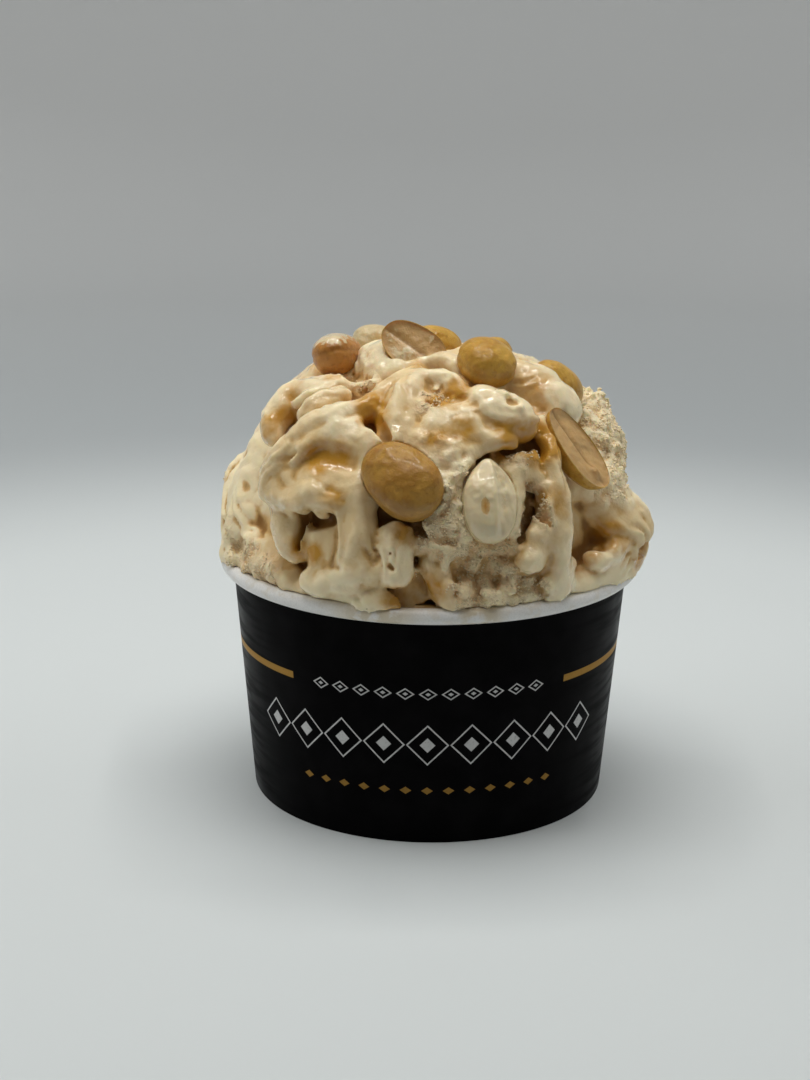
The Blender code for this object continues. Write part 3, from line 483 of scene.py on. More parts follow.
@dataclass(frozen=True)
class WhiteBoard:
    """The cup's unprinted white board, with faint stains where melted gelato ran over it."""

    white: Triple = (0.87, 0.855, 0.82)
    stain: Triple = (0.66, 0.54, 0.34)

    def make(self) -> bpy.types.Material:
        """Return the material."""
        paint = Paint("white_board")
        angle, height = paint.on_cup()
        cloud = paint.noise(3.2, 4.0)
        spill = abs(angle + 14.0).ramp(16.0, 3.0).greater(abs(angle - 13.0).ramp(9.0, 2.0))
        wet = (cloud.ramp(0.52, 0.68) * 0.35).greater(spill * cloud.ramp(0.34, 0.56))
        wet = wet * height.ramp(46.0, 49.0)
        fibre = paint.noise(0.35, 5.0, 3.0)
        tone = paint.mix(self.white, tuple(0.90 * c for c in self.white), fibre.ramp(0.35, 0.75))
        paint.set(Base_Color=paint.mix(tone, self.stain, wet * 0.75))
        paint.set(Roughness=0.42 - 0.20 * wet, Coat_Weight=0.10, Coat_Roughness=0.25)
        paint.set(Normal=paint.bump(fibre, 0.012, paint.bump(paint.noise(9.0, 2.0), 0.12)))
        return paint.material


@dataclass(frozen=True)
class Gelato:
    """Ivory peanut gelato: glossy melted skins, icy torn places, caramel in spots, painted shade in the
    creases.
    """

    ivory: Triple = (0.79, 0.595, 0.320)
    # cream is whiter gelato and also a painted highlight on the crests
    cream: Triple = (0.95, 0.790, 0.510)
    icy: Triple = (0.97, 0.720, 0.430)
    # tan and deep are painted shade laid into the creases and hollows
    tan: Triple = (0.68, 0.425, 0.155)
    deep: Triple = (0.30, 0.140, 0.030)
    amber: Triple = (0.60, 0.290, 0.022)

    def make(self) -> bpy.types.Material:
        """Return the material."""
        paint = Paint("gelato")
        rough, skin = paint.attribute("rough"), paint.attribute("skin")
        broad = paint.noise(6.0, 3.0)
        middle = paint.noise(1.7, 5.0, 17.0)
        fine = paint.noise(0.55, 5.0, 41.0)
        torn = rough * (1.0 - 0.85 * skin)
        cloud = (broad - 0.5) * 1.3 + (middle - 0.5) * 0.6
        # Painted shade: the hollow and shade measures darken creases and hollows to tan and brown, with a
        # random mottle.
        crease_shade_and_mottle = paint.attribute("hollow") * 0.85 + paint.attribute("shade") * 0.85 + cloud * 0.80
        crease_shade_and_mottle = crease_shade_and_mottle * (1.0 - 0.60 * torn)
        tone = paint.mix(self.ivory, self.icy, torn)
        # Painted highlight: raised crests turn cream, with the whiter, partly painted-light spots and a
        # random tone.
        pale = paint.attribute("milky_and_lit") + paint.attribute("crest") * 0.55 + (middle - 0.5) * 0.7
        tone = paint.mix(tone, self.cream, pale.ramp(0.20, 0.90))
        tone = paint.mix(tone, self.tan, crease_shade_and_mottle.ramp(0.10, 0.70) * 0.90)
        tone = paint.mix(tone, self.deep, crease_shade_and_mottle.ramp(0.55, 1.25) * 0.90)
        # Painted shade in the pits of the torn grain.
        tone = paint.mix(tone, self.tan, torn * fine.ramp(0.46, 0.28) * 0.25)
        pool = (paint.attribute("syrup") + cloud * 0.8).ramp(0.22, 0.85)
        tone = paint.mix(tone, self.amber, pool * 0.92)
        wet = (skin * broad.ramp(0.36, 0.52)).greater(pool)
        paint.set(Base_Color=tone)
        paint.set(Roughness=0.58 - 0.34 * wet + 0.12 * (middle - 0.5))
        paint.set(Coat_Weight=(0.10 + 0.85 * wet) * (1.0 - 0.8 * torn), Coat_Roughness=0.045)
        paint.set(Subsurface_Weight=0.35, Subsurface_Radius=(1.0, 0.70, 0.38), Subsurface_Scale=0.0020)
        paint.set(Normal=self.relief(paint, middle, fine, torn), IOR=1.40)
        return paint.material

    @staticmethod
    def relief(paint: Paint, middle: Signal, fine: Signal, torn: Signal) -> Signal:
        """Lay the grain and the soft dents over the surface, deeper on the torn places.

        Args:
            paint: the material's tree.
            middle: the dents.
            fine: the grain.
            torn: how torn the place is, 0 to 1.

        Returns:
            The bumped normal.
        """
        grain = paint.bump(fine * (0.05 + 0.60 * torn), 0.75)
        return paint.bump(middle * (0.16 + 0.42 * torn), 1.1, grain)


@dataclass(frozen=True)
class Crumb:
    """Loose grains of frozen gelato, too small for light to pass through."""

    pale: Triple = (0.92, 0.76, 0.50)
    dull: Triple = (0.76, 0.61, 0.37)

    def make(self) -> bpy.types.Material:
        """Return the material."""
        paint = Paint("gelato_crumb")
        fine = paint.noise(0.8, 3.0)
        paint.set(Base_Color=paint.mix(self.dull, self.pale, fine.ramp(0.35, 0.6)), Roughness=0.55)
        return paint.material


@dataclass(frozen=True)
class PeanutSkin:
    """Roasted, blanched peanut: tan, darker where roasted, oily, with a film of melted gelato."""

    name: str
    base: Triple
    roast: Triple
    milk: Triple = (0.80, 0.68, 0.43)
    face: Triple = (0.58, 0.36, 0.145)
    mark: float = 0.6

    def make(self) -> bpy.types.Material:
        """Return the material."""
        paint = Paint("peanut_" + self.name)
        broad, spots = paint.noise(5.0, 2.0), paint.noise(1.1, 4.0, 13.0)
        fine = paint.noise(0.38, 4.0, 27.0)
        smear, inner = paint.attribute("smear"), paint.attribute("inner")
        groove = paint.attribute("groove")
        tone = paint.mix(self.base, self.roast, broad.ramp(0.44, 0.66) * 0.50)
        tone = paint.mix(tone, self.roast, spots.ramp(0.54, 0.68) * 0.50)
        tone = paint.mix(tone, tuple(1.25 * c for c in self.base), spots.ramp(0.44, 0.28) * 0.5)
        tone = paint.mix(tone, self.face, inner)
        tone = paint.mix(tone, tuple(0.62 * c for c in self.roast), groove * self.mark)
        film = (smear * (1.0 - inner * 0.3) + (broad - 0.5) * 0.5 + (spots - 0.5) * 0.35).ramp(0.44, 0.54)
        tone = paint.mix(tone, self.milk, film * 0.86)
        paint.set(Base_Color=tone, Roughness=0.40 - 0.16 * film + 0.12 * (fine - 0.5))
        paint.set(Coat_Weight=0.25 + 0.55 * film, Coat_Roughness=0.12, IOR=1.45)
        paint.set(Subsurface_Weight=0.20, Subsurface_Radius=(1.0, 0.5, 0.2), Subsurface_Scale=0.0018)
        relief = (spots * 0.6 + fine * 0.4) * (1.0 - 0.7 * film)
        paint.set(Normal=paint.bump(broad, 1.6, paint.bump(relief, 0.22)))
        return paint.material


@dataclass(frozen=True)
class Backdrop:
    """The studio's matt sheet: painted light pale round the cup and painted shade grey where it rises."""

    # pale and grey paint the light falling off across the sheet
    pale: Triple = (0.668, 0.700, 0.695)
    grey: Triple = (0.46, 0.485, 0.490)
    far: Triple = (0.88, 0.885, 0.875)
    # the colour in front is painted shade standing for the unlit room
    unlit_room: Triple = (0.22, 0.22, 0.22)

    def make(self) -> bpy.types.Material:
        """Return the material."""
        paint = Paint("studio_sheet")
        away = paint.node("ShaderNodeVectorMath", {"operation": "LENGTH"}, {0: paint.place}, output="Value")
        cloud = paint.noise(60.0, 2.0)
        # Painted falloff of the light: pale round the cup, grey further out, lighter again far out.
        shade = paint.mix(self.pale, self.grey, away.ramp(0.18, 0.34))
        shade = paint.mix(shade, self.far, away.ramp(0.30, 0.95))
        _, ahead, _ = paint.split(paint.place)
        # Painted shade: the sheet turns dark in front, where the room is unlit.
        shade = paint.mix(shade, self.unlit_room, ahead.ramp(-0.26, -0.40))
        paint.set(Base_Color=paint.mix(shade, self.pale, cloud * 0.03), Roughness=0.8)
        paint.set(Specular_IOR_Level=0.1)
        return paint.material


# The cup


@dataclass
class Cup:
    """The paper cup: a tapered wall with a rolled rim and a hemmed foot, and a raised base."""

    rim_radius: float = 44.0
    height: float = 51.0
    base_radius: float = 37.2
    bead_radius: float = 1.6
    paper: float = 0.5
    base_recess: float = 5.6
    hem_height: float = 5.0
    hem_slot: float = 1.0
    skirt_paper: float = 0.4
    gap: float = 0.3
    segments: int = 256
    bead_steps: int = 22
    bead_start: float = -130.0
    wall_rows: int = 12
    fold_radius: float = 0.22
    seam_azimuth: float = 196.0
    seam_width: float = 7.0
    seam_rise: float = 0.22
    seam_depth: float = 0.05
    seam_grid: Tuple[int, int] = (25, 7)

    def __post_init__(self) -> None:
        """Work out the measures that follow from the others."""
        self.bead_centre = self.rim_radius - self.bead_radius
        self.bead_height = self.height - self.bead_radius
        self.wall_top = self.bead_height - 0.75 * self.bead_radius
        self.wall_top_radius = self.bead_centre - self.bead_radius + self.paper
        self.base_top = self.base_recess + self.skirt_paper

    def outside(self, height: Any) -> Any:
        """Return the wall's outer radius at a height."""
        return self.base_radius + (self.wall_top_radius - self.base_radius) * height / self.wall_top

    def wall_section(self) -> Tuple[List[Tuple[float, float]], int]:
        """Draw the wall's section.

        Returns:
            The section's points, and how many of its first edges are printed.
        """
        fold = self.fold_radius
        points = [(self.outside(0.0) - 0.6 * fold, 0.0), (self.outside(0.0) - 0.15 * fold, 0.25 * fold)]
        points += [(self.outside(fold), fold)]
        points += [(self.outside(h), h) for h in np.linspace(4.0, self.wall_top, self.wall_rows)]
        printed = len(points) - 1
        for angle in np.radians(np.linspace(self.bead_start, 180.0, self.bead_steps)):
            points.append((
                self.bead_centre + self.bead_radius * math.cos(angle),
                self.bead_height + self.bead_radius * math.sin(angle),
            ))
        slot = self.outside(self.paper) - self.paper
        lean = self.outside(self.hem_height) - self.outside(self.paper)
        points += [(slot, self.paper), (slot - self.hem_slot, self.paper)]
        points += [(slot - self.hem_slot + lean, self.hem_height)]
        points += [(slot - self.hem_slot + lean - self.paper, self.hem_height)]
        points += [(slot - self.hem_slot - self.paper, 0.0)]
        return points, printed

    def base_section(self) -> List[Tuple[float, float]]:
        """Return the section of the base: a disc with a skirt that stands in the hem's slot."""
        foot = self.paper + self.gap
        low = self.outside(foot) - self.paper - self.gap
        high = self.outside(self.base_top) - self.paper - self.gap
        inner = low - self.skirt_paper
        inner_high = inner + self.outside(self.base_recess) - self.outside(foot)
        return [
            (low, foot), (high, self.base_top), (0.0, self.base_top), (0.0, self.base_recess),
            (inner_high, self.base_recess), (inner, foot),
        ]

    def turn(
        self, name: str, section: Sequence[Tuple[float, float]], printed: int,
        board: bpy.types.Material, ink: bpy.types.Material,
    ) -> bpy.types.Object:
        """Turn a closed section round the cup's axis with a node group.

        Args:
            name: the piece's name.
            section: its (radius, height) points in millimetres.
            printed: how many of the first rows of faces carry the print.
            board: the material of the rest.
            ink: the material of the print.

        Returns:
            The piece.
        """
        rows = len(section) + 1
        recipe = Recipe("turned_" + name, {
            "Steps round": ("NodeSocketInt", self.segments),
            "Section points": ("NodeSocketInt", rows),
            "Printed rows": ("NodeSocketInt", printed),
            "Weld distance": ("NodeSocketFloat", 0.00002),
        })
        columns = recipe.input("Steps round") + 1
        grid = recipe.node("GeometryNodeMeshGrid", None, {
            "Size X": 1.0, "Size Y": 1.0, "Vertices X": columns, "Vertices Y": recipe.input("Section points"),
        }, output="Mesh")
        index = recipe.node("GeometryNodeInputIndex")
        row = index.maths("MODULO", index, recipe.input("Section points"))
        column = (index - row) / recipe.input("Section points")
        drawn = recipe.node(
            "GeometryNodeSampleIndex", {"data_type": "FLOAT_VECTOR", "domain": "POINT"},
            {"Geometry": recipe.given, "Value": recipe.node("GeometryNodeInputPosition"), "Index": row},
        )
        angle = column * math.tau / recipe.input("Steps round")
        placed = recipe.node(
            "ShaderNodeVectorRotate", {"rotation_type": "Z_AXIS"}, {"Vector": drawn, "Angle": angle}
        )
        moved = recipe.node("GeometryNodeSetPosition", None, {"Geometry": grid, "Position": placed})
        welded = recipe.node(
            "GeometryNodeMergeByDistance", None,
            {"Geometry": moved, "Distance": recipe.input("Weld distance")},
        )
        marked = self.mark_print(recipe, welded, index, board, ink)
        recipe.finished(recipe.node("GeometryNodeRealizeInstances", None, {"Geometry": marked}))
        source = bpy.data.meshes.new(name + "_section")
        source.from_pydata([(0.0, -r * MM, h * MM) for r, h in [*section, section[0]]], [], [])
        made = recipe.run(name, source)
        self.close(made.data)
        return made

    @staticmethod
    def mark_print(
        recipe: Recipe, shape: Signal, index: Signal, board: bpy.types.Material, ink: bpy.types.Material
    ) -> Signal:
        """Give the printed rows of faces the ink and the rest the board.

        Args:
            recipe: the node group.
            shape: the geometry so far.
            index: the element's number.
            board: the material of the rest.
            ink: the material of the print.

        Returns:
            The geometry with its materials.
        """
        face_rows = recipe.input("Section points") - 1
        row = index.maths("MODULO", index, face_rows)
        on_print = row.maths("LESS_THAN", row, recipe.input("Printed rows"))
        plain = recipe.node("GeometryNodeSetMaterial", None, {"Geometry": shape, "Material": board})
        return recipe.node(
            "GeometryNodeSetMaterial", None, {"Geometry": plain, "Selection": on_print, "Material": ink}
        )

    @staticmethod
    def close(mesh: bpy.types.Mesh) -> None:
        """Point the faces outwards, drop flat ones at the axis and smooth the round parts."""
        shape = bmesh.new()
        shape.from_mesh(mesh)
        bmesh.ops.dissolve_degenerate(shape, dist=1e-7, edges=shape.edges)
        bmesh.ops.recalc_face_normals(shape, faces=shape.faces)
        shape.to_mesh(mesh)
        shape.free()
        mesh.shade_smooth()
        mesh.set_sharp_from_angle(angle=SHARP_FROM)

    def seam(self, ink: bpy.types.Material) -> bpy.types.Object:
        """Lay the lap of the wall's side seam, a strip that stands one paper proud and fades out.

        Args:
            ink: the print's material.

        Returns:
            The piece.
        """
        mesh = bpy.data.meshes.new("side_seam")
        shape = bmesh.new()
        rows, columns = self.seam_grid
        grids = []
        for on_top in (False, True):
            grid = []
            for height in np.linspace(0.4, self.wall_top - 0.3, rows):
                line = []
                for share in np.linspace(0.0, 1.0, columns):
                    rise = self.seam_rise * (1.0 - share) if on_top else -self.seam_depth
                    radius = self.outside(height) + rise
                    angle = math.radians(self.seam_azimuth) + share * self.seam_width / self.rim_radius
                    spot = (radius * math.sin(angle), -radius * math.cos(angle), height)
                    line.append(shape.verts.new(Vector(spot) * MM))
                grid.append(line)
            grids.append(grid)
        under, over = grids
        for row in range(rows - 1):
            for column in range(columns - 1):
                for grid in grids:
                    shape.faces.new((
                        grid[row][column], grid[row][column + 1],
                        grid[row + 1][column + 1], grid[row + 1][column],
                    ))
        ring = [(0, c) for c in range(columns)] + [(r, columns - 1) for r in range(1, rows)]
        ring += [(rows - 1, c) for c in range(columns - 2, -1, -1)] + [(r, 0) for r in range(rows - 2, 0, -1)]
        for here, there in zip(ring, ring[1:] + ring[:1]):
            shape.faces.new((
                under[here[0]][here[1]], under[there[0]][there[1]],
                over[there[0]][there[1]], over[here[0]][here[1]],
            ))
        bmesh.ops.recalc_face_normals(shape, faces=shape.faces)
        shape.to_mesh(mesh)
        shape.free()
        mesh.shade_smooth()
        mesh.set_sharp_from_angle(angle=SHARP_FROM)
        mesh.materials.append(ink)
        return link("side_seam", mesh)

    def build(self) -> None:
        """Make the wall, the base and the side seam."""
        board, ink = WhiteBoard().make(), PrintedPaper().make()
        section, printed = self.wall_section()
        settle(self.turn("paper_wall", section, printed, board, ink), "cup_wall")
        settle(self.turn("raised_base", self.base_section(), 0, board, ink), "cup_base")
        settle(self.seam(ink), None)


# The gelato


@dataclass
class Mound:
    """The plain mound that every stroke is laid on."""

    centre: float = 50.0
    radius: float = 41.0
    height: float = 42.0
    squareness: float = 2.6
    core_depth: float = 3.0

    @staticmethod
    def outward(azimuth: float, elevation: float) -> np.ndarray:
        """Return the unit vector that points from the mound's centre."""
        around, above = math.radians(azimuth), math.radians(elevation)
        flat = math.cos(above)
        return np.array([flat * math.sin(around), -flat * math.cos(around), math.sin(above)])

    def spot(self, azimuth: float, elevation: float, lift: float) -> np.ndarray:
        """Return the point at a lift above the plain mound."""
        above = math.radians(elevation)
        across = (abs(math.cos(above)) / self.radius) ** self.squareness
        upward = (abs(math.sin(above)) / self.height) ** self.squareness
        reach = (across + upward) ** (-1.0 / self.squareness)
        return np.array([0.0, 0.0, self.centre]) + self.outward(azimuth, elevation) * (reach + lift)

    def distance(self, x: np.ndarray, y: np.ndarray, z: np.ndarray) -> np.ndarray:
        """Return the distance to the mound's core."""
        radius = np.hypot(x, y)
        height = z - self.centre
        power = self.squareness
        shape = ((radius / self.radius) ** power + (np.abs(height) / self.height) ** power) ** (1.0 / power)
        size = np.hypot(radius, height) + 1e-6
        return np.where(shape > 1e-6, size * (1.0 - 1.0 / np.maximum(shape, 1e-6)), -size) + self.core_depth


def smooth_lower(first: np.ndarray, second: np.ndarray, blend: float) -> np.ndarray:
    """Return the lesser of two distances, rounded over where they meet."""
    overlap = np.maximum(blend - np.abs(first - second), 0.0) / blend
    return np.minimum(first, second) - overlap * overlap * blend * 0.25


def spline(stations: Sequence[Sequence[float]], steps: int) -> np.ndarray:
    """Lay a smooth curve through stations.

    Args:
        stations: one station per row.
        steps: how many points to each stretch.

    Returns:
        The curve's points, one per row.
    """
    rows = np.array(stations, dtype=float)
    if len(rows) == 1:
        return rows
    padded = np.vstack([2 * rows[0] - rows[1], rows, 2 * rows[-1] - rows[-2]])
    points = []
    for place in range(1, len(padded) - 2):
        before, start, end, after = padded[place - 1:place + 3]
        for t in np.arange(steps) / steps:
            points.append(0.5 * (
                2 * start + (end - before) * t + (2 * before - 5 * start + 4 * end - after) * t ** 2
                + (3 * start - before - 3 * end + after) * t ** 3
            ))
    points.append(padded[-2])
    return np.array(points)


class Field:
    """Signed distances to the gelato's surface on a grid of points, negative inside.

    Rows of relief are depth, period and seed. A stroke wider than spread_from lies down a little
    wider than it is drawn, and strands pull_width apart run along its crest, pull_depth deep.
    """

    far = 9.0
    wobbles = ((0.50, 4.6, 31), (0.30, 2.3, 32), (0.12, 1.4, 33))
    drifts = ((1.5, 7.0, 34), (0.7, 3.4, 35))
    pulls = ((1.3, 6.0, 36),)
    pull_width = 2.7
    pull_depth = 0.60
    pull_share = 0.20
    spread = 1.15
    spread_from = 1.25
    skin_blend = 0.35
    skin_torn = 1.2
    blur_limit = 4.0

    def __init__(self, mound: Mound, low: Sequence[float], high: Sequence[float], step: float) -> None:
        """Fill the grid with the plain mound.

        Args:
            mound: the mound that strokes are laid on.
            low: the grid's lowest corner.
            high: the grid's highest corner.
            step: the grid's step.
        """
        self.mound = mound
        self.step = step
        self.axes = [np.arange(low[i], high[i] + step, step) for i in range(3)]
        self.points = np.meshgrid(*self.axes, indexing="ij", sparse=True)
        self.values = mound.distance(*self.points)
        self.skin = np.full(self.values.shape, self.far, dtype=np.float32)
        self.rough = np.zeros(self.values.shape, dtype=np.float32)
        self.wobble = self.relief(self.wobbles)
        self.drift = self.relief(self.drifts)
        self.pull = np.clip(0.35 + self.relief(self.pulls), 0.0, 1.3)

    def relief(self, rows: Reliefs) -> np.ndarray:
        """Return the sum of random reliefs from rows of depth, period and seed."""
        return sum(depth * self.noise(period, seed) for depth, period, seed in rows)

    def noise(self, period: float, seed: int) -> np.ndarray:
        """Return a smooth random relief between -1 and 1, its bumps one period apart.

        Args:
            period: the distance between bumps.
            seed: the relief's seed.

        Returns:
            The relief on the grid.
        """
        weights, counts = [], []
        for axis in self.axes:
            place = (axis + 60.0) / period
            cell = np.floor(place).astype(int)
            part = place - cell
            part = part * part * (3.0 - 2.0 * part)
            rows = np.zeros((len(axis), cell.max() + 2))
            rows[np.arange(len(axis)), cell] = 1.0 - part
            rows[np.arange(len(axis)), cell + 1] = part
            weights.append(rows)
            counts.append(rows.shape[1])
        lattice = np.random.default_rng(seed).uniform(-1.0, 1.0, counts)
        return np.einsum("ia,jb,kc,abc->ijk", *weights, lattice, optimize=True)

    def window(self, low: np.ndarray, high: np.ndarray) -> Tuple[Tuple[slice, ...], List[np.ndarray]]:
        """Return the slices of the grid inside a box, and its points there."""
        slices = []
        for axis, start, end in zip(self.axes, low, high):
            first = min(max(int((start - axis[0]) / self.step), 0), len(axis) - 1)
            last = max(min(int((end - axis[0]) / self.step) + 2, len(axis)), first + 1)
            slices.append(slice(first, last))
        points = np.meshgrid(*[a[part] for a, part in zip(self.axes, slices)], indexing="ij", sparse=True)
        return tuple(slices), points

    def stroke(self, stroke: Stroke, crest: bool, steps: int = 6) -> Tuple[Tuple[slice, ...], np.ndarray]:
        """Measure the distance to a stroke.

        Args:
            stroke: the roll or groove.
            crest: whether lifts are its crest's, and not its middle's.
            steps: how many points to each stretch of its track.

        Returns:
            The part of the grid it reaches, and the distances there.
        """
        stations = spline(stroke.track, steps)
        wider = self.spread if crest and stroke.half_width > self.spread_from else 1.0
        widths, heights = wider * stroke.half_width * stations[:, 3], stroke.half_height * stations[:, 3]
        lifts = stations[:, 2] - heights if crest else stations[:, 2]
        centres = np.array([self.mound.spot(s[0], s[1], lift) for s, lift in zip(stations, lifts)])
        normals = np.array([self.mound.outward(s[0], s[1]) for s in stations])
        room = max(widths.max(), heights.max()) + stroke.blend + self.step
        whole, _ = self.window(centres.min(axis=0) - room, centres.max(axis=0) + room)
        nearest = np.full([part.stop - part.start for part in whole], self.far)
        pull = min(self.pull_depth, self.pull_share * stroke.half_width) if crest else 0.0
        for place in range(max(len(centres) - 1, 1)):
            other = min(place + 1, len(centres) - 1)
            pair = centres[[place, other]]
            part, points = self.window(pair.min(axis=0) - room, pair.max(axis=0) + room)
            local = tuple(slice(p.start - w.start, p.stop - w.start) for p, w in zip(part, whole))
            distance, lateral = self.segment(
                points, pair[0], pair[1], normals[place] + normals[other],
                widths[[place, other]], heights[[place, other]],
            )
            strand = np.abs(np.sin(math.pi * (lateral / self.pull_width + self.drift[part])))
            nearest[local] = np.minimum(nearest[local], distance - pull * self.pull[part] * (strand - 0.6))
        return whole, nearest

    @staticmethod
    def segment(
        points: List[np.ndarray], start: np.ndarray, end: np.ndarray, normal: np.ndarray,
        widths: np.ndarray, heights: np.ndarray,
    ) -> Tuple[np.ndarray, np.ndarray]:
        """Measure a rounded stretch between two stations, flattened along its normal.

        Args:
            points: the grid's points.
            start: the first station.
            end: the second station.
            normal: the direction that the stretch is flattened along.
            widths: the half widths at both stations.
            heights: the half heights at both stations.

        Returns:
            The distances to it, and how far to its side each point lies.
        """
        along = end - start
        length = float(along @ along)
        offset = [axis - origin for axis, origin in zip(points, start)]
        if length > 1e-9:
            share = np.clip(sum(o * a for o, a in zip(offset, along)) / length, 0.0, 1.0)
            normal = normal - along * (normal @ along) / length
        else:
            share = np.zeros(np.broadcast_shapes(*[o.shape for o in offset]))
        normal = normal / np.linalg.norm(normal)
        offset = [o - share * a for o, a in zip(offset, along)]
        rise = sum(o * n for o, n in zip(offset, normal))
        sideways = np.maximum(sum(o * o for o in offset) - rise * rise, 0.0)
        width = widths[0] + (widths[1] - widths[0]) * share
        height = heights[0] + (heights[1] - heights[0]) * share
        near = np.sqrt(sideways / width ** 2 + rise ** 2 / height ** 2)
        slope = np.sqrt(sideways / width ** 4 + rise ** 2 / height ** 4) + 1e-6
        side = np.cross(along if length > 1e-9 else (0.0, 0.0, 1.0), normal)
        side = side / max(float(np.linalg.norm(side)), 1e-9)
        return near * (near - 1.0) / slope, sum(o * s for o, s in zip(offset, side))

    def add(self, stroke: Stroke, smooth: bool) -> None:
        """Lay a roll of gelato onto the body, with a melted skin where it is smooth."""
        part, distance = self.stroke(stroke, True)
        distance = distance + self.wobble[part]
        blend = stroke.blend + (self.skin_blend if smooth else 0.0)
        self.values[part] = smooth_lower(self.values[part], distance, blend)
        if smooth:
            self.skin[part] = np.minimum(self.skin[part], distance)

    def cut(self, stroke: Stroke) -> None:
        """Press a groove into the body."""
        part, distance = self.stroke(stroke, False)
        self.values[part] = -smooth_lower(-self.values[part], distance, stroke.blend)
        self.skin[part] = np.maximum(self.skin[part], self.skin_torn - distance)

    def roughen(self, places: Sequence[Triple], crumbs: Reliefs) -> None:
        """Tear the body's surface at the given places.

        Args:
            places: azimuth, elevation and radius of each.
            crumbs: depth, period and seed of each layer of rounded crumbs with sharp creases between.
        """
        x, y, z = self.points
        for azimuth, elevation, radius in places:
            centre = self.mound.spot(azimuth, elevation, 0.0)
            away = np.sqrt((x - centre[0]) ** 2 + (y - centre[1]) ** 2 + (z - centre[2]) ** 2)
            self.rough = np.maximum(self.rough, np.clip(2.6 - 2.6 * away / radius, 0.0, 1.0))
        for depth, period, seed in crumbs:
            clump = 2.0 * np.abs(self.noise(period, seed)) - 0.7
            self.values -= self.rough * depth * clump

    def keep_in_cup(self, cup: Cup, clearance: float) -> None:
        """Fill the cup up to its wall and base, and stay off its rim.

        Args:
            cup: the cup.
            clearance: the room left to it.
        """
        x, y, z = self.points
        radius = np.hypot(x, y)
        inside = cup.outside(z) - cup.paper - clearance
        plug = np.maximum(radius - inside, z - self.mound.centre - 1.0)
        body = np.minimum(self.values, plug)
        bead = np.hypot(radius - cup.bead_centre, z - cup.bead_height) - cup.bead_radius - clearance
        allowed = np.minimum(cup.bead_height - z, radius - inside)
        self.values = np.maximum(np.maximum(body, allowed), -bead)

    def press_in(self, place: PeanutPlace, clearance: float, squareness: float) -> None:
        """Make room for a peanut.

        Args:
            place: the peanut.
            clearance: the room left to it, below 0 where the gelato clings to it.
            squareness: how square the kernel's section is.
        """
        matrix = peanut_matrix(place, self.mound)
        centre = np.array(matrix.translation)
        room = 0.5 * place.length + 2.0 * abs(clearance) + 2.0 * self.step
        part, points = self.window(centre - room, centre + room)
        offset = [axis - origin for axis, origin in zip(points, centre)]
        half = place.kernel is Kernel.HALF
        measures = (place.length, place.width, place.thickness * (2.0 if half else 1.0))
        near: Any = 1e-9
        for column, measure in enumerate(measures):
            direction = matrix.to_3x3().col[column]
            along = sum(o * d for o, d in zip(offset, direction))
            near = near + np.abs(along / (0.5 * measure + clearance)) ** squareness
        size = np.sqrt(sum(o * o for o in offset))
        distance = size * (1.0 - near ** (-1.0 / squareness))
        if half:
            up = matrix.to_3x3().col[2]
            distance = np.maximum(distance, sum(o * d for o, d in zip(offset, up)) - clearance)
        self.values[part] = np.maximum(self.values[part], -distance)

    def hollowness(self, reach: int) -> np.ndarray:
        """Return how deep each point lies below the surface around it, in millimetres."""
        blurred = np.clip(self.values, -self.blur_limit, self.blur_limit)
        for axis in range(3):
            for _ in range(2):
                total = np.cumsum(blurred, axis=axis)
                count = 2 * reach + 1
                ahead = np.roll(total, -reach, axis=axis)
                behind = np.roll(total, reach + 1, axis=axis)
                index = [slice(None)] * 3
                index[axis] = slice(-reach, None)
                last = [slice(None)] * 3
                last[axis] = slice(-1, None)
                ahead[tuple(index)] = total[tuple(last)]
                index[axis] = slice(0, reach + 1)
                behind[tuple(index)] = 0.0
                blurred = (ahead - behind) / count
        return -blurred

    def sample(self, values: np.ndarray, spots: np.ndarray) -> np.ndarray:
        """Return a grid's values at points, read between its steps."""
        origin = np.array([axis[0] for axis in self.axes])
        place = (spots - origin) / self.step
        top = np.array(values.shape) - 2
        cell = np.clip(np.floor(place).astype(int), 0, top)
        part = np.clip(place - cell, 0.0, 1.0)
        total = np.zeros(len(spots))
        for corner in itertools.product((0, 1), repeat=3):
            share = np.prod([part[:, i] if corner[i] else 1.0 - part[:, i] for i in range(3)], axis=0)
            total += share * values[cell[:, 0] + corner[0], cell[:, 1] + corner[1], cell[:, 2] + corner[2]]
        return total

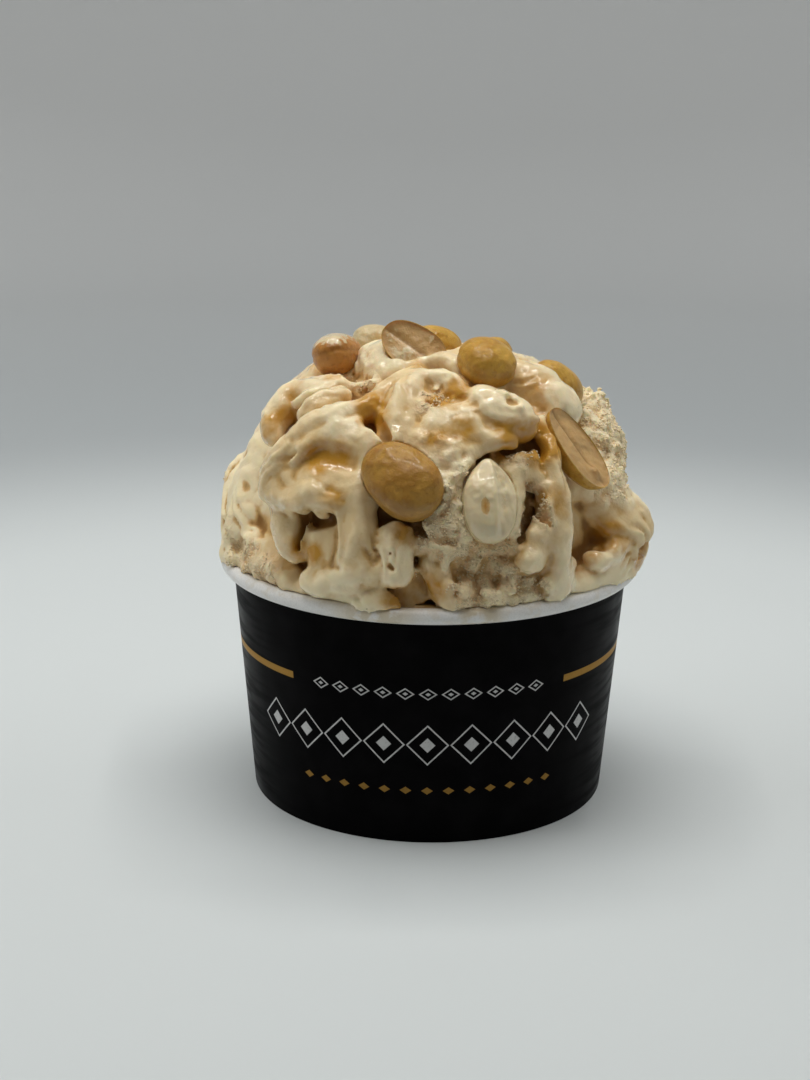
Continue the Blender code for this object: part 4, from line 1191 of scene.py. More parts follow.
    def surface(self) -> Tuple[np.ndarray, np.ndarray]:
        """Draw the surface, open where it leaves the grid.

        Returns:
            Its vertices, one per crossed cell, and its quads.
        """
        values, inside = self.values, self.values < 0.0
        points, cells, quads = [], [], []
        for axis in range(3):
            second, third = (axis + 1) % 3, (axis + 2) % 3
            lower, upper = [slice(None)] * 3, [slice(None)] * 3
            lower[axis], upper[axis] = slice(None, -1), slice(1, None)
            place = np.argwhere(inside[tuple(lower)] != inside[tuple(upper)])
            place = place[(place[:, second] > 0) & (place[:, third] > 0)]
            beyond = place.copy()
            beyond[:, axis] += 1
            near, far = values[tuple(place.T)], values[tuple(beyond.T)]
            point = place.astype(float)
            point[:, axis] += near / (near - far)
            around = []
            for step_second, step_third in ((0, 0), (1, 0), (1, 1), (0, 1)):
                cell = place.copy()
                cell[:, second] -= step_second
                cell[:, third] -= step_third
                around.append(np.ravel_multi_index(cell.T, values.shape))
                points.append(point)
                cells.append(around[-1])
            quad = np.stack(around, axis=1)
            inward = near > 0.0
            quad[inward] = quad[inward][:, ::-1]
            quads.append(quad)
        found, order = np.unique(np.concatenate(cells), return_inverse=True)
        share = np.bincount(order)
        stacked = np.vstack(points)
        middle = np.stack([np.bincount(order, weights=stacked[:, i]) / share for i in range(3)], axis=1)
        origin = np.array([axis[0] for axis in self.axes])
        return origin + middle * self.step, np.searchsorted(found, np.vstack(quads))


def strokes(rows: Sequence[Tuple[Any, ...]]) -> Tuple[Stroke, ...]:
    """Return strokes from rows of name, half width, half height, blend and stations."""
    return tuple(Stroke(row[0], row[1], row[2], row[3], tuple(row[4:])) for row in rows)


MASSES = strokes((
    ("left side", 7.0, 4.5, 3.0, (-92, 34, 0.5, 0.8), (-86, 24, 1, 1), (-80, 15, 1.5, 1), (-77, 7, 2, 1)),
    ("left fold", 7.5, 5.0, 1.6, (-43.5, 37.5, 2.6, 0.8), (-35, 37, 3.2, 1), (-27.5, 37.5, 3, 1),
     (-21.5, 39.5, 2, 0.8)),
    ("fold's slope", 5.0, 4.0, 2.0, (-40, 43.5, 2.6, 1), (-30, 44.5, 2.4, 1), (-21.5, 45, 1.8, 0.8)),
    ("middle", 9.0, 4.2, 3.0, (6, 36, 2, 1), (7, 26.5, 2.4, 1), (11.5, 16.5, 2.4, 1)),
    ("left back", 7.0, 5.0, 2.5, (-112, 22, 2, 0.8), (-106, 14, 4.6, 1), (-100, 9, 4.6, 0.9)),
    ("right back", 8.0, 6.0, 2.0, (92, 42, 3, 1), (85, 38, 3, 1), (76, 31, 2, 0.9)),
    ("right shoulder", 6.5, 6.0, 2.0, (64, 27, 1.5, 0.8), (68, 20, 4, 1), (72, 13, 6.5, 1), (76, 9, 6, 0.9)),
    ("right foot", 4.5, 4.0, 1.5, (50, 2, 2, 0.8), (59, 4, 3, 1), (68, 4, 4, 1), (76, 4, 4, 0.9)),
    ("crumbs at the right", 6.0, 4.0, 2.0, (16, 6, 1.5, 1), (26, 5, 1.5, 1), (34, 5, 1, 0.8)),
    ("crumbs at the left", 4.0, 3.5, 2.0, (-62, 6, 1.5, 1), (-52, 5, 1.5, 1), (-43, 3, 1.5, 0.9)),
    ("top left", 5.0, 4.0, 2.0, (-80, 66, 1.5, 1), (-62, 64, 1.5, 1)),
    ("shoulder block", 5.5, 4.5, 1.8, (-84, 47, 1.6, 1), (-74, 52, 2.2, 1), (-64, 56, 1.8, 0.9)),
    ("crown", 9.0, 5.0, 3.0, (-120, 76, 1, 1), (150, 76, 1, 1), (80, 72, 1, 1)),
    ("under the half", 4.0, 3.0, 1.5, (46, 48, 0.5, 1), (50, 38, 0.5, 1), (54, 30, 0.5, 0.8)),
    ("cavity's lump", 3.4, 3.6, 0.6, (25.5, 38, 2.2, 0.9), (28, 36.5, 2.8, 1.05), (32.5, 36, 2.4, 0.9)),
    ("lobe at the pit", 3.2, 3.2, 1.0, (23, 26, 1.6, 1), (22, 21.5, 1.8, 1), (23.5, 17.5, 1.6, 0.8)),
    ("fold's lower body", 5.0, 4.0, 1.6, (-43.5, 29.5, 4, 0.9), (-37.5, 29.5, 4.2, 1),
     (-31.5, 29.5, 4, 1), (-26.5, 29.5, 3.4, 0.9)),
    ("front arch's body", 6.0, 4.0, 2.5, (-14.5, 57.5, 1.4, 1), (-14, 48.5, 1.8, 1), (-15, 42, 1.4, 0.9)),
    ("basin under the arch", 6.5, 4.2, 2.4, (2, 57, 2, 0.9), (-0.5, 50, 2.2, 1), (6, 51, 2.4, 1),
     (10.5, 47.5, 2, 1)),
    ("bowl's lump", 3.6, 3.0, 1.0, (-1.5, 7.5, 1.6, 0.9), (-5.5, 5.5, 1.4, 0.9)),
    ("panel's floor", 4.4, 3.4, 1.6, (-32, 23.5, 2.4, 1), (-30.5, 16.5, 2.4, 1), (-29.5, 10.5, 2.6, 0.9)),
))

HOLLOWS = strokes((
    ("under the lip", 2.8, 3.8, 0.7, (-51.5, 22, 1.6, 0.8), (-45, 21, 1, 1), (-39.5, 21.5, 0.6, 1),
     (-33, 22, 2.2, 1), (-29, 23, 2.2, 0.9)),
    ("panel", 2.6, 1.6, 0.8, (-30.5, 21.5, 3.4, 1), (-29.5, 17, 3.4, 1), (-28.5, 12, 3.6, 0.9)),
    ("crease at the arch", 2.2, 3.6, 0.8, (-26, 50.5, 1.6, 0.9), (-21, 48, 1.2, 1), (-16.5, 46, 0.8, 0.9)),
    ("under the sheet", 3.4, 3.0, 0.9, (15.5, 41, 0.6, 0.8), (9, 38.5, 0.6, 1), (2.5, 34, 0.8, 0.8)),
    ("right of the knob", 3.6, 4.4, 0.7, (28.5, 42.5, 1.6, 1), (35.5, 42, 1.4, 1), (37.5, 38.5, 1.4, 0.9)),
    ("beside the ridge", 3.0, 3.8, 1.4, (50.5, 29.5, 2.4, 0.7), (50, 23, 1.6, 0.9), (49, 17, 1.6, 0.9),
     (46, 12.5, 2, 0.7)),
    ("shoulder hollow", 2.3, 3.6, 0.6, (-68, 49.5, 3, 0.9), (-68, 46, 2.6, 1), (-64.5, 42.5, 2.2, 1),
     (-60, 40, 2, 0.8)),
    ("upper pit", 3.6, 3.0, 0.6, (14, 14.5, 2.2, 1), (20, 14.5, 2.2, 1)),
    ("lower pit", 3.8, 2.8, 0.6, (10.5, 11, 2.2, 1), (16.5, 10, 2.2, 0.9)),
    ("side pit", 1.8, 3.6, 0.4, (26.5, 17.5, 0.5, 1)),
    ("bowl at the rim", 5.0, 4.0, 1.0, (-2.5, 7, 2.6, 1), (-8, 4.5, 2.6, 0.8)),
    ("under the front peanut", 3.0, 4.6, 0.6, (-13, 23.5, 0.4, 0.9), (-8.5, 22.5, 0.2, 1),
     (-3.5, 22.5, 0.4, 0.9)),
    ("behind the drip", 3.0, 3.6, 0.7, (-14, 13, 0.8, 1), (-13, 8, 1, 0.9)),
    ("top hollow", 3.4, 3.0, 0.9, (-62, 66, 1.6, 1), (-48, 67, 1.2, 0.9)),
    ("behind the ribbon", 2.2, 2.6, 0.7, (-34, 64, 1.4, 1), (-22, 67, 1.4, 1)),
    ("fold's valley", 2.6, 2.2, 1.2, (-40, 35, 4.6, 0.8), (-34.5, 36.5, 4.2, 1), (-28.5, 36.5, 3.8, 1),
     (-23.5, 36, 3.4, 0.9)),
))

ROLLS = strokes((
    ("shoulder arch", 2.4, 3.0, 0.8, (-57, 56, 2.4, 0.8), (-65, 54, 3.2, 1), (-69.5, 50.5, 3.8, 1),
     (-69, 46, 4.2, 1.05), (-67, 42, 4.2, 1.05), (-64.5, 39, 3.2, 0.9)),
    ("tongue", 2.0, 2.4, 0.5, (-45.5, 56, 2, 0.8), (-47.5, 52.5, 3, 0.95), (-49, 48.5, 3.8, 1.05),
     (-50.5, 46.5, 3.8, 1)),
    ("shoulder rib", 0.9, 1.2, 0.5, (-56.5, 54.5, 2.4, 1), (-58.5, 51.5, 2.6, 1), (-60, 48, 2.6, 0.9)),
    ("long ribbon", 2.3, 2.8, 0.8, (-11.5, 68.5, 2.5, 0.9), (-18, 62.5, 2.6, 0.9), (-23.5, 57.5, 3, 1),
     (-26.5, 52.5, 3.6, 1), (-33.5, 48, 4.4, 1.05), (-40, 45, 5, 1.05), (-43, 42, 5.6, 1),
     (-45.5, 38, 5.8, 1), (-47.5, 34, 6, 1), (-49, 29.5, 5.6, 1), (-49, 26.5, 4.8, 0.9)),
    ("ribbon's second lap", 1.5, 1.7, 0.7, (-27, 46.5, 3.2, 0.8), (-33, 43.5, 4.2, 1),
     (-37.5, 40.5, 4.8, 1), (-40, 37, 5.2, 1), (-41.5, 34, 5.2, 0.8)),
    ("left lip", 2.0, 2.4, 0.7, (-49, 26, 5, 0.9), (-45.5, 25, 5.2, 1.05), (-42.5, 25, 5, 0.8),
     (-38, 25, 5.2, 1.05), (-35.5, 26, 4.8, 0.85), (-33, 27, 4.8, 1.1), (-30, 27, 4.2, 0.9),
     (-26.5, 26, 3.8, 0.9)),
    ("lobe under the lip", 3.6, 3.8, 1.0, (-44, 23.5, 3.2, 1), (-42, 19, 3.8, 1.05),
     (-40.5, 15, 3.6, 0.95), (-39.5, 12, 2.8, 0.6)),
    ("leg", 3.4, 3.4, 0.9, (-21, 32, 2.6, 1.1), (-21, 27.5, 3, 1.05), (-20.5, 22.5, 3, 1),
     (-20, 17, 3.2, 1), (-19.5, 11, 3.8, 1.1)),
    ("foot", 2.2, 2.8, 0.8, (-33.5, 5.5, 3.4, 0.95), (-30, 5, 3.6, 1), (-25, 6.5, 3.8, 1.15),
     (-21, 8, 4, 1.4), (-17.5, 8.5, 3.6, 1.2), (-15, 10.5, 2.8, 0.9)),
    ("front drip", 2.9, 2.4, 0.6, (-11.5, 18.5, 2.4, 0.8), (-8.5, 19, 3.2, 1), (-8, 15, 3.7, 1),
     (-8.5, 10.5, 4, 1)),
    ("drip's root", 1.9, 2.4, 0.6, (-15, 10, 2.8, 1), (-11.5, 9.5, 2.8, 1), (-9, 9.5, 3.2, 1)),
    ("crease rib", 0.8, 1.6, 0.4, (-23, 54, 1, 1), (-22.5, 51, 0.2, 1), (-20, 48.5, -0.8, 0.9)),
    ("arch leg", 2.9, 3.4, 1.0, (-4.5, 65.5, 3, 0.8), (-11, 59, 4, 1), (-13, 54.5, 4.2, 1),
     (-12.5, 50, 3.8, 1.05), (-12.5, 46, 3.2, 1.05), (-13.5, 43, 2.2, 0.8)),
    ("front arch", 2.1, 3.0, 0.6, (-6.5, 64, 3.4, 1), (2, 63.5, 4.2, 1), (9, 62, 4.4, 1),
     (13, 58.5, 4, 0.95), (16.5, 56, 3, 0.7)),
    ("rear ribbon", 2.5, 3.0, 0.6, (-14, 71, 2.5, 0.8), (-4, 74, 3, 1), (10, 74, 3.8, 1), (20, 70, 3.8, 1),
     (27, 66, 3.2, 1), (38, 62, 2.6, 0.8)),
    ("sheet", 5.2, 2.4, 1.8, (22.5, 45.5, 4.2, 0.8), (15, 47, 3.8, 1), (8, 45.5, 3.4, 1.1),
     (2.5, 41, 3, 1.1), (-0.5, 37, 2.6, 1), (-2, 34, 1.8, 0.8)),
    ("sheet's lower edge", 1.3, 1.7, 0.6, (26, 42, 4, 1), (21, 41.5, 4, 1.1), (17.5, 43.5, 3.8, 1),
     (13, 43.5, 3.6, 1), (8.5, 42.5, 3.2, 1), (5.5, 40, 2.4, 0.7)),
    ("knob", 3.6, 4.4, 0.4, (21.5, 53.5, 5.6, 0.9), (24.5, 50.5, 7, 1.05), (28.5, 47.5, 7.4, 1.1),
     (31.5, 46, 6.8, 0.85)),
    ("coated lobe", 4.9, 5.2, 0.9, (50, 62, 4.5, 0.9), (55, 57, 5.5, 1), (57, 51, 5.5, 1),
     (54, 47, 3.5, 0.6)),
    ("left tooth", 1.3, 1.9, 0.4, (25, 35, 3.2, 1), (25, 32, 3, 0.8)),
    ("right tooth", 1.5, 2.0, 0.4, (30.5, 34.5, 3.2, 1), (32, 31.5, 3, 0.8)),
    ("long ridge", 2.9, 3.8, 0.8, (40, 46.5, 3.2, 0.5), (40.5, 43, 3.6, 0.55), (39.5, 38.5, 4, 0.6),
     (37.5, 34, 4, 0.7), (37, 28.5, 4.2, 0.85), (36.5, 23, 4.4, 1), (36, 16.5, 4.4, 1.05),
     (35.5, 10.5, 4, 1.05), (35, 4.5, 3.4, 0.95)),
    ("glossy lip", 1.1, 1.6, 0.5, (33.5, 30, 4, 0.8), (33.5, 27, 4.4, 1), (32.5, 24.5, 4.2, 0.9)),
    ("round drip", 3.1, 3.4, 0.5, (28.5, 13, 4.2, 1), (31.5, 15, 3.4, 0.7)),
    ("flap", 2.8, 1.8, 0.6, (38, 9, 3, 1), (37, 4, 3, 1), (35, 1.5, 2.8, 0.8)),
    ("lobe by the bowl", 2.4, 3.0, 0.7, (-0.5, 13.5, 1.6, 0.8), (2, 10.5, 2.2, 1), (3.5, 7, 2.4, 1),
     (4, 4.5, 2.4, 0.9)),
    ("film on the rim", 2.6, 1.2, 0.5, (-16, 2.5, 2.8, 0.9), (-13, 2.5, 3, 1), (-9.5, 2, 2.6, 0.8)),
    ("top lump", 4.8, 5.5, 1.0, (-78, 73, 3.5, 1), (-56, 76, 5, 1), (-34, 71, 3, 0.8)),
    ("right wrinkle", 1.6, 2.0, 0.6, (50, 9, 3, 1), (56, 8, 3.6, 1), (62, 10, 4, 0.9)),
    ("lip's fringe", 0.9, 1.8, 0.5, (-42, 24.5, 3.2, 1), (-41, 23, 2.6, 0.7)),
    ("lip's middle fringe", 0.9, 1.6, 0.5, (-36.5, 25, 3, 1), (-36, 23.5, 2.4, 0.8)),
    ("lip's right fringe", 1.2, 1.8, 0.5, (-32, 26, 3.2, 1), (-31, 24, 2.4, 1), (-30, 23.5, 2.2, 0.7)),
    ("leg's edge", 0.8, 1.6, 0.4, (-24.5, 25.5, 2.4, 0.8), (-24.5, 21.5, 3, 1), (-23.5, 16.5, 3.2, 1),
     (-23.5, 12, 3.4, 0.8)),
    ("knob's fold", 1.0, 1.4, 0.4, (24, 52.5, 7.2, 0.8), (26, 51, 8, 1), (28, 48.5, 8.3, 1),
     (28.5, 46.5, 8.2, 0.8)),
    ("coated's flank", 2.8, 2.2, 0.5, (21.5, 33.5, 3, 0.6), (22.5, 30, 3.2, 1), (22, 26, 3, 1),
     (20, 22, 2.6, 0.8)),
    ("ridge's lobe", 1.9, 2.4, 0.7, (33, 21.5, 3.6, 1), (30.5, 18.5, 3.6, 1), (32.5, 15.5, 3.4, 0.8)),
))

NOTCHES = strokes((
    ("crevice", 0.9, 2.8, 0.4, (29.5, 31, 2.2, 0.8), (30.5, 28, 2, 1), (31, 24, 2, 1),
     (32, 20.5, 2.2, 0.7)),
    ("dimple", 1.2, 1.6, 0.5, (26.5, 49, 7.6, 1), (28, 48.5, 7.6, 0.7)),
    ("bulge's hollow", 2.2, 2.4, 0.7, (76, 7, 5.5, 1), (70, 7, 4.5, 0.8)),
    ("crack in the fold", 0.5, 1.4, 0.4, (-45, 32.5, 5.4, 0.7), (-42.5, 34, 5.2, 1), (-41, 35.5, 5, 0.7)),
    ("upper hole of the drip", 0.5, 1.6, 0.4, (-10, 15.5, 3.9, 1)),
    ("lower hole of the drip", 0.55, 1.6, 0.4, (-10, 12.5, 4.2, 1), (-9, 11.5, 4.2, 0.8)),
    ("first hole of the hollow", 0.6, 1.2, 0.5, (-1.5, 54, 2.6, 1), (1.5, 52.5, 2.6, 0.7)),
    ("second hole of the hollow", 0.5, 1.2, 0.5, (-4.5, 48.5, 2.6, 1)),
    ("between the sub lobe and the panel", 0.7, 3.6, 0.4, (-37.5, 22.5, 2, 0.8), (-37, 18.5, 1.4, 1),
     (-37, 13.5, 1.2, 0.9)),
    ("panel's first groove", 0.4, 0.5, 0.4, (-34, 22.5, 2.6, 0.8), (-32.5, 16.5, 2.7, 1),
     (-31.5, 11, 2.8, 0.8)),
    ("panel's second groove", 0.4, 0.5, 0.4, (-30.5, 23.5, 2.6, 0.8), (-29.5, 17, 2.7, 1),
     (-29, 10.5, 2.8, 0.8)),
    ("panel's third groove", 0.4, 0.5, 0.4, (-28, 23, 2.6, 0.8), (-27, 17, 2.7, 1), (-26.5, 12, 2.8, 0.8)),
    ("arch crease", 1.5, 2.2, 0.7, (-24, 50, 3, 0.5), (-20, 47.5, 2.6, 0.9), (-16.5, 45, 2.2, 1),
     (-14, 43, 2, 0.8)),
))

COVERS = strokes((
    ("film on the front peanut", 0.9, 0.9, 0.8, (-10, 40, 4, 0.7), (-5, 38.5, 4.2, 1), (-1, 36, 4.2, 1),
     (1.5, 33.5, 3.6, 0.9)),
))

# Torn places: azimuth, elevation, radius
ROUGH_PLACES = (
    (4, 54, 7), (10, 53, 6), (3, 37, 9), (8, 29, 11), (5, 21, 11), (0, 17, 8), (14, 12, 13), (26, 17, 8),
    (26, 4, 12), (12, 3, 9), (29, 37, 5), (34, 36, 5), (31, 26, 7), (84, 40, 17), (66, 30, 9), (-50, 4, 5),
    (-60, 6, 5), (-68, 4, 5), (-76, 10, 5), (-72, 64, 6), (-60, 68, 6), (-43, 66, 5), (140, 30, 14),
    (-150, 42, 13), (170, 12, 13), (-110, 12, 10), (110, 8, 10), (-160, 60, 8),
)

# Caramel: azimuth, elevation, radius, strength
SYRUP_SPOTS = (
    (-34, 36, 5, 1.0), (-29, 37, 4, 0.9), (-61, 44, 5, 0.65), (-63, 40, 4.5, 0.6), (-68, 50, 4, 0.6),
    (-24, 52, 5, 0.8), (-20, 48, 4, 0.9), (3, 54, 4, 0.8), (12, 57, 4, 0.9), (24, 45, 4, 0.8),
    (26, 42.5, 5, 1.1), (11, 45, 3.5, 0.6), (2, 44, 4, 0.6), (35, 40, 6, 1.2), (31, 41, 4, 1.0),
    (-31.7, 13.2, 3, 1.1), (-27, 27, 3.5, 0.8), (-36, 14, 4, 0.7), (-6, 20, 4, 0.8), (35, 26, 4, 0.7),
    (44.5, 9, 4, 0.8), (49, 14, 5, 0.8), (57, 14, 5, 0.9), (62, 10, 4, 0.7), (70, 6, 5, 0.8),
    (0, 6, 5, 0.9), (-8, 4, 4, 0.9), (13, 11, 4, 0.8), (21, 14, 4, 0.8), (-58, 60, 3, 0.6),
    (-30, 63, 4, 0.8), (-10, 68, 4, 0.6), (20, 62, 5, 0.7), (47, 55, 5, 0.6), (-48, 12, 4, 0.6),
    (-60, 5, 4, 0.6), (120, 50, 7, 0.8), (150, 30, 8, 0.7), (-160, 50, 7, 0.8), (-130, 40, 8, 0.7),
    (100, 20, 7, 0.7), (-100, 60, 6, 0.6), (180, 20, 7, 0.7), (-120, 10, 5, 0.6),
)

# Whiter gelato, partly painted light brightening dim places: azimuth, elevation, radius, strength
MILKY_AND_LIT_SPOTS = (
    (-82, 26, 16, 1.5), (-76, 12, 12, 1.2), (-56, 75, 9, 1.0), (-88, 50, 8, 0.8), (-62, 55, 6, 0.7),
    (6, 63, 6, 0.5), (27, 50, 7, 1.0), (4, 51, 5, 0.5), (-30, 47, 6, 0.7), (-8, 14, 5, 0.6),
    (-24, 5, 7, 0.6), (84, 40, 18, 1.5), (68, 30, 10, 1.0), (6, 30, 9, 0.6), (12, 20, 9, 0.5),
    (24, 5, 8, 0.6), (40, 5, 8, 0.6), (58, 5, 7, 0.6), (130, 60, 12, 0.7), (-150, 20, 12, 0.7),
    (160, 70, 10, 0.8), (-110, 40, 12, 0.7),
)


@dataclass
class GelatoMound:
    """The gelato: one body that fills the cup and heaps above it."""

    mound: Mound
    cup: Cup
    step: float = 0.5
    bottom: float = 46.0
    clearance: float = 0.05
    cling: float = -0.12
    triangles: int = 185000
    room_for_grains: float = 0.4
    back_folds: int = 9
    back_from: float = 104.0
    back_to: float = 262.0
    back_seed: int = 7
    edge_step: int = 12
    edge_bare: Tuple[int, int] = (-8, 4)
    squareness: float = 2.2
    grid_side: float = 3.0
    grid_top: float = 9.0
    swells: Reliefs = ((0.7, 9.0, 11), (0.35, 5.0, 12))
    crumbs: Reliefs = ((0.9, 6.0, 21), (0.8, 3.2, 22), (0.65, 1.9, 23))

    def back(self) -> List[Stroke]:
        """Return the rolls at the back: each runs down from the crown, drifting round the mound."""
        random = np.random.default_rng(self.back_seed)
        folds = []
        for place in range(self.back_folds):
            azimuth = self.back_from + (self.back_to - self.back_from) * (place + 0.5) / self.back_folds
            drift = random.uniform(-22.0, 22.0)
            high, low = random.uniform(52.0, 74.0), random.uniform(6.0, 26.0)
            crest = random.uniform(1.4, 2.8)
            track = []
            for share in np.linspace(0.0, 1.0, 5):
                track.append((
                    azimuth + drift * (share - 0.5) + random.uniform(-3.0, 3.0),
                    high + (low - high) * share,
                    crest * (0.6 + 0.4 * math.sin(math.pi * share)),
                    0.75 + 0.35 * math.sin(math.pi * share),
                ))
            folds.append(Stroke("back fold", random.uniform(2.6, 5.0), 3.4, 0.8, tuple(track)))
        return folds

    def edge(self) -> List[Stroke]:
        """Return the low rolls that lie on the rim, all round but at the bowl."""
        random = np.random.default_rng(self.back_seed + 1)
        folds = []
        for azimuth in range(-180, 180, self.edge_step):
            if self.edge_bare[0] <= azimuth <= self.edge_bare[1]:
                continue
            crest = random.uniform(1.9, 2.8)
            reach = 0.4 * self.edge_step
            track = ((azimuth - reach, 3.0, crest, 1), (azimuth + reach, 3.0, crest, 1))
            folds.append(Stroke("edge", 2.4, 2.6, 1.4, track))
        return folds

    def shaped(self, peanuts: Sequence[PeanutPlace]) -> Field:
        """Work out the gelato's distances.

        Args:
            peanuts: the kernels pressed into it.

        Returns:
            The finished field.
        """
        reach = self.cup.rim_radius + self.grid_side
        top = self.mound.centre + self.mound.height + self.grid_top
        body = Field(self.mound, (-reach, -reach, self.bottom), (reach, reach, top), self.step)
        for stroke in (*MASSES, *self.edge()):
            body.add(stroke, False)
        for swell in self.swells:
            body.values += body.relief((swell,))
        for stroke in HOLLOWS:
            body.cut(stroke)
        body.roughen(ROUGH_PLACES, self.crumbs)
        body.values += (0.10 + 0.30 * body.rough) * body.noise(2.4, 14)
        for stroke in (*self.back(), *ROLLS):
            body.add(stroke, True)
        for stroke in NOTCHES:
            body.cut(stroke)
        body.values += 0.14 * body.noise(3.1, 15) + (0.08 + 0.22 * body.rough) * body.noise(1.5, 16)
        for peanut in peanuts:
            body.press_in(peanut, self.cling, self.squareness)
        for stroke in COVERS:
            body.add(stroke, True)
        body.keep_in_cup(self.cup, self.clearance)
        return body

    def dabbed(
        self, spots: np.ndarray, dabs: Sequence[Tuple[float, ...]], lift: float, reach: float
    ) -> np.ndarray:
        """Return how strongly each point is dabbed.

        Args:
            spots: the points in millimetres.
            dabs: azimuth, elevation, radius and strength of each dab.
            lift: the dabs' height above the plain mound.
            reach: where a dab ends, in radii.

        Returns:
            The strongest dab's strength at each point.
        """
        strongest = np.zeros(len(spots))
        for azimuth, elevation, radius, strength in dabs:
            away = np.linalg.norm(spots - self.mound.spot(azimuth, elevation, lift), axis=1)
            strongest = np.maximum(strongest, strength * np.clip(reach - away / radius, 0.0, 1.0))
        return strongest

    def attributes(self, mesh: bpy.types.Mesh, spots: np.ndarray, body: Field) -> None:
        """Give each vertex how hollow, torn, skinned and syrupy it is, and its painted shade and light.

        Args:
            mesh: the gelato's mesh.
            spots: its vertices in millimetres.
            body: the field that it was drawn from.
        """
        values = {
            # whiter gelato spots, partly painted light on dim places
            "milky_and_lit": self.dabbed(spots, MILKY_AND_LIT_SPOTS, 2.0, 1.4),
            # crest feeds a painted highlight; hollow and shade feed painted shade
            "crest": np.clip(-body.sample(body.hollowness(3), spots) / 0.45, 0.0, 1.0),
            "hollow": np.clip(body.sample(body.hollowness(2), spots) / 0.22, 0.0, 1.0),
            "shade": np.clip(body.sample(body.hollowness(9), spots) / 1.5, 0.0, 1.0),
            "rough": np.clip(body.sample(body.rough, spots), 0.0, 1.0),
            "skin": np.clip(1.4 - body.sample(body.skin, spots) / 0.7, 0.0, 1.0),
            "syrup": self.dabbed(spots, SYRUP_SPOTS, 2.6, 1.3),
        }
        for name, row in values.items():
            attribute = mesh.attributes.new(name, "FLOAT", "POINT")
            attribute.data.foreach_set("value", row.astype(np.float32))

    def close_below(self, shape: bmesh.types.BMesh) -> None:
        """Carry the open lower edge down the inside of the cup and close it at the base."""
        loop = [edge for edge in shape.edges if edge.is_boundary]
        low = self.cup.base_top + self.clearance
        shrink = self.cup.outside(low) / self.cup.outside(self.bottom)
        grown = bmesh.ops.extrude_edge_only(shape, edges=loop)["geom"]
        lower = [part for part in grown if isinstance(part, bmesh.types.BMVert)]
        for vertex in lower:
            vertex.co.x *= shrink
            vertex.co.y *= shrink
            vertex.co.z = low * MM
        rim = [part for part in grown if isinstance(part, bmesh.types.BMEdge) and part.is_boundary]
        bmesh.ops.contextual_create(shape, geom=rim)

    @staticmethod
    def keep_outer_shell(shape: bmesh.types.BMesh) -> None:
        """Drop every scrap that isn't joined to the surface's highest point."""
        shape.verts.ensure_lookup_table()
        start = max(shape.verts, key=lambda vertex: vertex.co.z)
        reached, frontier = {start}, [start]
        while frontier:
            for edge in frontier.pop().link_edges:
                for vertex in edge.verts:
                    if vertex not in reached:
                        reached.add(vertex)
                        frontier.append(vertex)
        loose = [vertex for vertex in shape.verts if vertex not in reached]
        bmesh.ops.delete(shape, geom=loose, context="VERTS")

    def build(self, peanuts: Sequence[PeanutPlace]) -> bpy.types.Object:
        """Make the gelato.

        Args:
            peanuts: the kernels pressed into it.

        Returns:
            The piece.
        """
        body = self.shaped(peanuts)
        points, quads = body.surface()
        low, high = (np.array(corner) / MM for corner in CAD_BOX)
        points = np.clip(points, low + self.room_for_grains, high - self.room_for_grains)
        mesh = bpy.data.meshes.new("gelato_mound")
        mesh.from_pydata((points * MM).tolist(), [], quads.tolist())
        self.attributes(mesh, points, body)
        shape = bmesh.new()
        shape.from_mesh(mesh)
        self.keep_outer_shell(shape)
        self.close_below(shape)
        bmesh.ops.triangulate(shape, faces=shape.faces)
        shape.to_mesh(mesh)
        shape.free()
        LOG.info("gelato before thinning: %d triangles", len(mesh.polygons))
        made = link("gelato_mound", mesh)
        if len(mesh.polygons) > self.triangles:
            thinner = made.modifiers.new("thin out", "DECIMATE")
            thinner.ratio = self.triangles / len(mesh.polygons)
            depsgraph = bpy.context.evaluated_depsgraph_get()
            made.data = bpy.data.meshes.new_from_object(made.evaluated_get(depsgraph), depsgraph=depsgraph)
            made.modifiers.clear()
        made.data.name = "gelato_mound"
        made.data.shade_smooth()
        made.data.materials.clear()
        made.data.materials.append(Gelato().make())
        return settle(made, "gelato")


